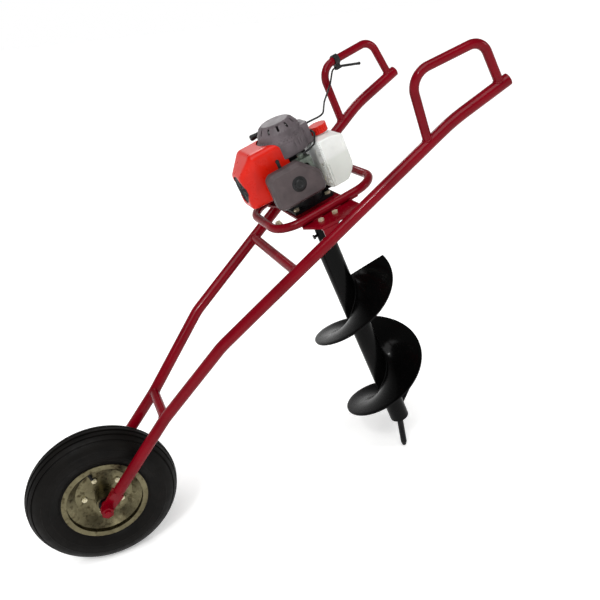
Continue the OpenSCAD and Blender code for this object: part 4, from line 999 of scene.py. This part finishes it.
@dataclass
class Auger:
    """Pipe, helical flight, cutting blade and pilot. Sizes are in millimetres."""

    pipe_r: float = 30.0
    flight_r: float = 142.0
    flight_t: float = 5.0
    flight_top: float = 253.0
    flight_root: float = 0.5
    pitch: float = 282.0
    turns: float = 1.85
    blade_in: float = 38.0
    blade_arc: float = 16.0
    blade_extra: float = 2.0
    edge_ease: float = 0.9
    edge_angle: float = 50.0
    weld_r: float = 2.6
    weld_out: float = 0.8
    weld_off: float = 1.2
    weld_start: int = 4
    weld_step: int = 3
    rows: int = 10
    steps_per_turn: int = 120
    least_steps: int = 8

    def helix(self, a: float, r: float, drop: float) -> Point:
        """Finds a point of the flight at an angle in degrees below its top edge."""
        t = math.radians(a)
        return r * math.cos(t), -r * math.sin(t), -self.flight_top - self.pitch * a / 360 - drop

    def sheet(self, name: str, start: float, stop: float, r_in: float, thick: float) -> bpy.types.Object:
        """Screws a radial edge into a helical sheet.

        Args:
            name: Name of the piece.
            start: Angle at its top, in degrees.
            stop: Angle at its foot.
            r_in: Inner radius.
            thick: Thickness of the sheet.

        Returns:
            The sheet, with eased edges.
        """
        radii = [r_in + (self.flight_r - r_in) * i / self.rows for i in range(self.rows + 1)]
        obj = stroke(name, [self.helix(start, r, thick / 2) for r in radii])
        turns = (stop - start) / 360
        steps = max(self.least_steps, round(self.steps_per_turn * turns))
        press(
            obj, "SCREW", angle=-math.tau * turns, screw_offset=-self.pitch * turns * MM, iterations=1,
            steps=steps, render_steps=steps, use_smooth_shade=True, use_merge_vertices=True,
        )
        closed_up(obj)
        press(obj, "SOLIDIFY", thickness=thick * MM, offset=0.0, use_even_offset=True)
        press(
            obj, "BEVEL", width=self.edge_ease * MM, segments=2, limit_method="ANGLE",
            angle_limit=math.radians(self.edge_angle),
        )
        smooth(obj, 40.0)
        return settle(obj, PARKED)

    def build(self) -> list[bpy.types.Object]:
        """Makes the flight, the blade and the welds along the pipe."""
        arc = 360 * self.turns
        flight = self.sheet("flight_helix", 0.0, arc, self.pipe_r - self.flight_root, self.flight_t)
        blade = self.sheet(
            "blade_plate", arc, arc + self.blade_arc, self.blade_in, self.flight_t + self.blade_extra
        )
        welds = []
        for name, drop in (("over", -self.weld_off), ("under", self.flight_t + self.weld_off)):
            angles = range(self.weld_start, int(arc) - self.weld_step, self.weld_step)
            line = [parked(self.helix(a, self.pipe_r + self.weld_out, drop)) for a in angles]
            welds.append(bead(f"weld_flight_{name}", line, self.weld_r, False))
        return [flight, blade, *welds]

    def dress(self, made: list[bpy.types.Object]) -> None:
        """Paints the auger."""
        flight, blade, *welds = made
        dress(flight, AUGER_ENAMEL, Body.AUGER, "auger_flight")
        dress(blade, BLACK_STEEL, Body.AUGER, "cutting_blade")
        for weld in welds:
            dress(weld, AUGER_ENAMEL, Body.AUGER)
        dress_solids(AUGER_ENAMEL, "auger_tube")
        dress_solids(BLACK_STEEL, "pilot_point", "output_shaft", "coupling_pin")


@dataclass
class Gearbox:
    """Reduction gearbox and clutch, all kept from the solids."""

    castings: tuple[str, ...] = ("gearbox_housing", "gearbox_cover", "clutch_housing")
    gears: tuple[str, ...] = ("clutch_drum", "intermediate_gear", "output_gear")

    def dress(self) -> None:
        """Finishes the castings, gears and bearings."""
        dress_solids(BLACK_CASTING, *self.castings)
        dress_solids(STEEL, *self.gears)
        dress_solids(BEARING, "shaft_bearings")
        dress_solids(LINING, "clutch_shoes")


@dataclass
class Engine:
    """Small two-stroke engine with its covers, filter, carburettor and starter. Sizes are in millimetres."""

    covers: tuple[Moulding, ...] = (
        Moulding("cylinder_shroud", "shroud_moulding", 1.3, 30, RED_PLASTIC),
        Moulding("filter_cover", "filter_lid_moulding", 1.2, 5, FILTER_PLASTIC),
        Moulding("plug_boot", "plug_boot_moulding", 0.7, 4, TUBE_RUBBER),
        Moulding("starter_housing", "starter_dome_moulding", 1.2, 3, DARK_PLASTIC),
        Moulding("fan_housing", "fan_ring_moulding", 1.2, 3, DARK_PLASTIC),
    )
    rope_x: float = -29.0
    rope_z: float = 200.0
    rope_r: float = 1.8
    rope_rows: int = 60
    rope_steps: int = 14
    grip_seat: float = 58.8
    grip_r: float = 8.0
    grip_half: float = 26.0
    grip_steps: int = 40
    neck: float = 8.0
    neck_steps: int = 32
    bar_above: float = 5.0
    filter_centre: Point = (-36.0, -116.0, 98.0)
    knob_r: float = 13.0
    knob_high: float = 8.0
    knob_steps: int = 60
    hollow_rim: float = 0.4
    hollow_deep: float = 1.2
    hollow_foot: float = 2.2
    guard_centre: Point = (-143.6, 0.0, 116.0)
    guard_r: float = 38.0
    guard_t: float = 1.6
    guard_steps: int = 72
    ridges: int = 5
    ridge: Profile = ((0.0, 1.6), (1.4, 3.2), (3.2, 3.2), (4.6, 1.6))
    ridge_first: float = 3.0
    ridge_pitch: float = 6.4
    slot_rim: float = 0.3
    slot_deep: float = 1.2
    slot_foot: float = 3.0

    def build_guard(self) -> bpy.types.Object:
        """Turns the ridged sheet guard behind the shroud's air outlet and opens a ring of slots in it."""
        r, thick = self.guard_r, self.guard_t
        front = [(r, 0.0), (r, thick)]
        for i in range(self.ridges):
            edge = r - self.ridge_first - i * self.ridge_pitch
            front += [(edge - inwards, high) for inwards, high in self.ridge]
        guard = lathe("outlet_guard", [*front, (0.0, thick), (0.0, 0.0)], self.guard_steps)

        def in_slot(face: bpy.types.MeshPolygon) -> bool:
            """Picks short arcs on the ridges, four faces of every six."""
            on_top = face.normal.z > FACING and face.center.z > self.slot_foot * MM
            return on_top and sector(face, self.guard_steps) % 6 < 4

        sunk(guard, in_slot, self.slot_rim, self.slot_deep)
        at = Matrix.Translation(Vector(self.guard_centre) * MM) @ Matrix.Rotation(-math.pi / 2, 4, "Y")
        return settle(guard, PARKED @ at)

    def build_knob(self) -> bpy.types.Object:
        """Turns the filter lid's screw knob and presses finger hollows into its rim."""
        r, high = self.knob_r, self.knob_high
        profile = [
            (0.0, -0.6), (r + 6, -0.6), (r + 6, 0.6), (r + 5, 1.2), (r + 1.5, 1.2), (r, 2.2), (r, high - 1.5),
            (r - 1.5, high), (r * 0.45, high), (r * 0.35, high - 1.2), (0.0, high - 1.2),
        ]
        knob = lathe("filter_knob", profile, self.knob_steps)

        def in_hollow(face: bpy.types.MeshPolygon) -> bool:
            """Picks faces around the knob's rim, two of every five."""
            c = face.center / MM
            on_rim = abs(face.normal.z) < 0.5 and math.hypot(c.x, c.y) > r - 1 and c.z > self.hollow_foot
            return on_rim and sector(face, self.knob_steps) % 5 < 2

        sunk(knob, in_hollow, self.hollow_rim, self.hollow_deep)
        at = Matrix.Translation(Vector(self.filter_centre) * MM) @ Matrix.Rotation(math.pi / 2, 4, "X")
        return settle(knob, PARKED @ at)

    def build_grip(self) -> bpy.types.Object:
        """Turns the pull grip's bar and its neck and joins them."""
        r, half, stem = self.grip_r, self.grip_half, self.neck
        rounded = [(r * 0.86, 8), (r, half - 5), (r * 0.95, half - 2), (r * 0.72, half), (0.0, half)]
        bar_profile = [*[(out, -along) for out, along in reversed(rounded)], *rounded]
        bar = lathe("pull_grip", bar_profile, self.grip_steps)
        middle = Matrix.Translation((0, 0, (stem + self.bar_above) * MM))
        settle(bar, middle @ Matrix.Rotation(math.pi / 2, 4, "Y"))
        neck_profile = [(0.0, 0.0), (4.6, 0.0), (5.0, 0.6), (6.2, stem - 2), (6.8, stem + 3), (0.0, stem + 3)]
        neck = lathe("grip_neck", neck_profile, self.neck_steps)
        smooth(joined(bar, neck), 40.0)
        return settle(bar, PARKED @ self.rope_place(self.grip_seat))

    def rope_place(self, out: float) -> Matrix:
        """Gives the rope's frame, its local Z outwards along the rope."""
        shift = Matrix.Translation(Vector((self.rope_x, out, self.rope_z)) * MM)
        return shift @ Matrix.Rotation(-math.pi / 2, 4, "X")

    def build_rope(self) -> bpy.types.Object:
        """Draws the rope from the reel out to the grip."""
        stop = self.grip_seat + self.neck
        side = [(self.rope_r, stop * i / self.rope_rows) for i in range(self.rope_rows + 1)]
        rope = lathe("starter_rope", [(0.0, 0.0), *side, (0.0, stop)], self.rope_steps)
        smooth(rope, 50.0)
        return settle(rope, PARKED @ self.rope_place(0.0))

    def dress_rope(self) -> None:
        """Finishes the rope and draws it out between the engine and the grip."""
        rope = self.build_rope()
        rope.data.materials.append(ROPE.material())
        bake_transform(rope)
        LOG.info("%s between frame and grip", rope.name)

    def dress(self) -> None:
        """Builds and finishes the engine's pieces."""
        for cover in self.covers:
            cover.make()
        dress(self.build_knob(), BLACK_PLASTIC, Body.FRAME)
        # The outlet guard is a real part; its near-black paint is also painted shade, darkening the shroud's
        # air outlet.
        dress(self.build_guard(), BLACK_CASTING, Body.FRAME)
        dress(self.build_grip(), BLACK_PLASTIC, Body.GRIP, "starter_grip")
        self.dress_rope()
        dress_solids(ALLOY, "engine_cylinder", "piston", "carburettor", "throttle_drum", "flywheel")
        dress_solids(BLACK_CASTING, "crankcase", "intake_block")
        dress_solids(FILTER_PLASTIC, "filter_base")
        dress_solids(BLACK_PLASTIC, "starter_reel", "choke_lever")
        dress_solids(STEEL, "crankshaft")
        dress_solids(SOOT, "muffler")
        dress_solids(CERAMIC, "spark_plug")
        dress_solids(FOAM, "filter_element")


@dataclass
class FuelSystem:
    """Milky tank, ribbed cap, bracket and hose. Sizes are in millimetres."""

    tank: Moulding = Moulding("fuel_tank", "tank_moulding", 1.6, 20, TANK_PLASTIC)
    cap: Moulding = Moulding("fuel_cap", "tank_cap_moulding", 0.6, 3, RED_PLASTIC, Body.CAP)
    hose_d: float = 7.0
    hose_step: float = 4.0
    hose_route: tuple[Point, ...] = (
        (52.7, -40.0, 46.0), (33.0, -40.0, 46.0), (6.0, -71.0, 49.0), (6.0, -71.0, 83.7),
    )
    hose_bends: tuple[float, ...] = (28.0, 28.0)

    def dress(self) -> None:
        """Builds and finishes the tank, its cap and the hose."""
        self.tank.make()
        self.cap.make()
        line = bent_line(self.hose_route, self.hose_bends, self.hose_step)
        hose = round_curve("fuel_hose_run", line, self.hose_d / 2, CORD_FINENESS)
        dress(hose, HOSE, Body.FRAME, "fuel_hose")
        dress_solids(BLACK_STEEL, "tank_bracket")


@dataclass
class Controls:
    """Throttle clamp, lever and cable on the right handle. Sizes are in millimetres."""

    lever: Moulding = Moulding("throttle_lever", "throttle_lever_moulding", 0.5, 3, BLACK_PLASTIC, Body.LEVER)
    cable_d: float = 5.0
    cable_step: float = 9.0
    cable_route: tuple[Point, ...] = (
        (302.6, 244.5, 218.0), (292.6, 243.3, 218.0), (258.0, 212.0, 192.0), (198.0, 150.0, 172.0),
        (150.0, 66.0, 166.0), (92.0, 46.0, 174.0), (73.0, 6.0, 174.0), (75.0, -34.0, 166.0),
        (52.0, -68.0, 150.0), (14.6, -71.0, 144.0),
    )
    cable_bends: tuple[float, ...] = (20.0, 30.0, 60.0, 60.0, 25.0, 25.0, 20.0, 20.0)

    def dress(self) -> None:
        """Builds and finishes the cable, and finishes the lever and its clamp."""
        line = bent_line(self.cable_route, self.cable_bends, self.cable_step)
        cable = round_curve("throttle_cable_run", line, self.cable_d / 2, CORD_FINENESS)
        dress(cable, BLACK_PLASTIC, Body.FRAME, "throttle_cable")
        self.lever.make()
        dress_solids(BLACK_PLASTIC, "throttle_clamp")


@dataclass(frozen=True)
class Softbox:
    """A round soft lamp: its place, aim and width in metres, and its power in watts."""

    name: str
    at: Point
    aim: Point
    wide: float
    power: float


@dataclass
class Studio:
    """Pale floor, soft lights and the photograph's viewpoint. Sizes are in metres."""

    eye: Point = (-0.38537, -1.51900, 1.33463)
    right: Point = (0.918440, -0.383536, -0.096789)
    up: Point = (0.239260, 0.343790, 0.908054)
    back: Point = (-0.314996, -0.857152, 0.407515)
    lens: float = 38.2565
    sensor: float = 36.0
    floor_size: float = 400.0
    floor_drop: float = 0.0005
    floor_glow: float = 0.32
    panel_from: Point = (-0.9, -1.3, 2.6)
    panel_power: float = 2.1
    panel_wide: float = 50.0
    sweep_top: float = 0.08
    ceiling_from: float = 0.4
    ceiling_power: float = 0.22
    softboxes: tuple[Softbox, ...] = (
        Softbox("key_softbox", (-1.5, -2.2, 3.0), (0.0, 0.0, 0.6), wide=0.3, power=24.0),
        Softbox("fill_softbox", (2.6, -1.4, 2.2), (0.0, 0.0, 0.6), wide=0.6, power=8.0),
        Softbox("rear_softbox", (0.4, 2.6, 2.8), (0.0, 0.0, 0.5), wide=0.7, power=18.0),
    )

    def camera(self) -> None:
        """Sets the camera at the photograph's viewpoint."""
        data = bpy.data.cameras.new("camera")
        data.sensor_width = self.sensor
        data.lens = self.lens
        eye = bpy.data.objects.new("camera", data)
        bpy.context.scene.collection.objects.link(eye)
        axes = Matrix((self.right, self.up, self.back)).transposed()
        eye.matrix_world = Matrix.Translation(self.eye) @ axes.to_4x4()
        bpy.context.scene.camera = eye

    def floor(self) -> None:
        """Lays the pale floor, lit a little from behind."""
        deselect()
        bpy.ops.mesh.primitive_plane_add(size=self.floor_size, location=(0, 0, -self.floor_drop))
        sheet = bpy.context.object
        sheet.name = "studio_floor"
        paper = PAPER.material()
        glow = paper.node_tree.nodes["Principled BSDF"].inputs
        glow["Emission Color"].default_value = WHITE
        glow["Emission Strength"].default_value = self.floor_glow
        sheet.data.materials.append(paper)

    def hang(self, lamp: bpy.types.Light, at: Point, aim: Point) -> None:
        """Hangs a lamp at a place and turns it to its aim."""
        obj = bpy.data.objects.new(lamp.name, lamp)
        bpy.context.scene.collection.objects.link(obj)
        turn = (Vector(aim) - Vector(at)).to_track_quat("-Z", "Y")
        obj.matrix_world = Matrix.Translation(at) @ turn.to_matrix().to_4x4()

    def light(self) -> None:
        """Hangs the softboxes and the ceiling panel and sets the even light around."""
        for box in self.softboxes:
            lamp = bpy.data.lights.new(box.name, "AREA")
            lamp.shape = "DISK"
            lamp.size = box.wide
            lamp.energy = box.power
            self.hang(lamp, box.at, box.aim)
        panel = bpy.data.lights.new("ceiling_panel", "SUN")
        panel.energy = self.panel_power
        panel.angle = math.radians(self.panel_wide)
        self.hang(panel, self.panel_from, (0.0, 0.0, 0.0))
        bpy.context.scene.world = self.surround()
        bpy.context.scene.view_settings.view_transform = "Standard"

    def surround(self) -> bpy.types.World:
        """Makes the room's even light: a bright sweep near the floor under a dim ceiling."""
        world = bpy.data.worlds.new("studio_light")
        world.use_nodes = True
        tree = world.node_tree
        sweep = tree.nodes["Background"]
        sweep.inputs["Color"].default_value = WHITE
        way = add(tree, "ShaderNodeTexCoord").outputs["Generated"]
        rise = add(tree, "ShaderNodeSeparateXYZ", None, {"Vector": way}).outputs["Z"]
        fade = {
            "Value": rise, "From Min": self.sweep_top, "From Max": self.ceiling_from,
            "To Min": 1.0, "To Max": self.ceiling_power,
        }
        add(tree, "ShaderNodeMapRange", None, fade, {"Result": sweep.inputs["Strength"]})
        return world


def main() -> None:
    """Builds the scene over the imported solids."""
    logging.basicConfig(level=logging.INFO, format="%(name)s: %(message)s")
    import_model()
    studio = Studio()
    studio.camera()
    Controls().dress()
    FuelSystem().dress()
    tubes = BarrowFrame()
    tubes.dress(tubes.build())
    wheel = FrontWheel()
    wheel.dress(wheel.build())
    auger = Auger()
    auger.dress(auger.build())
    Gearbox().dress()
    Engine().dress()
    studio.floor()
    studio.light()


if __name__ == "__main__":
    main()
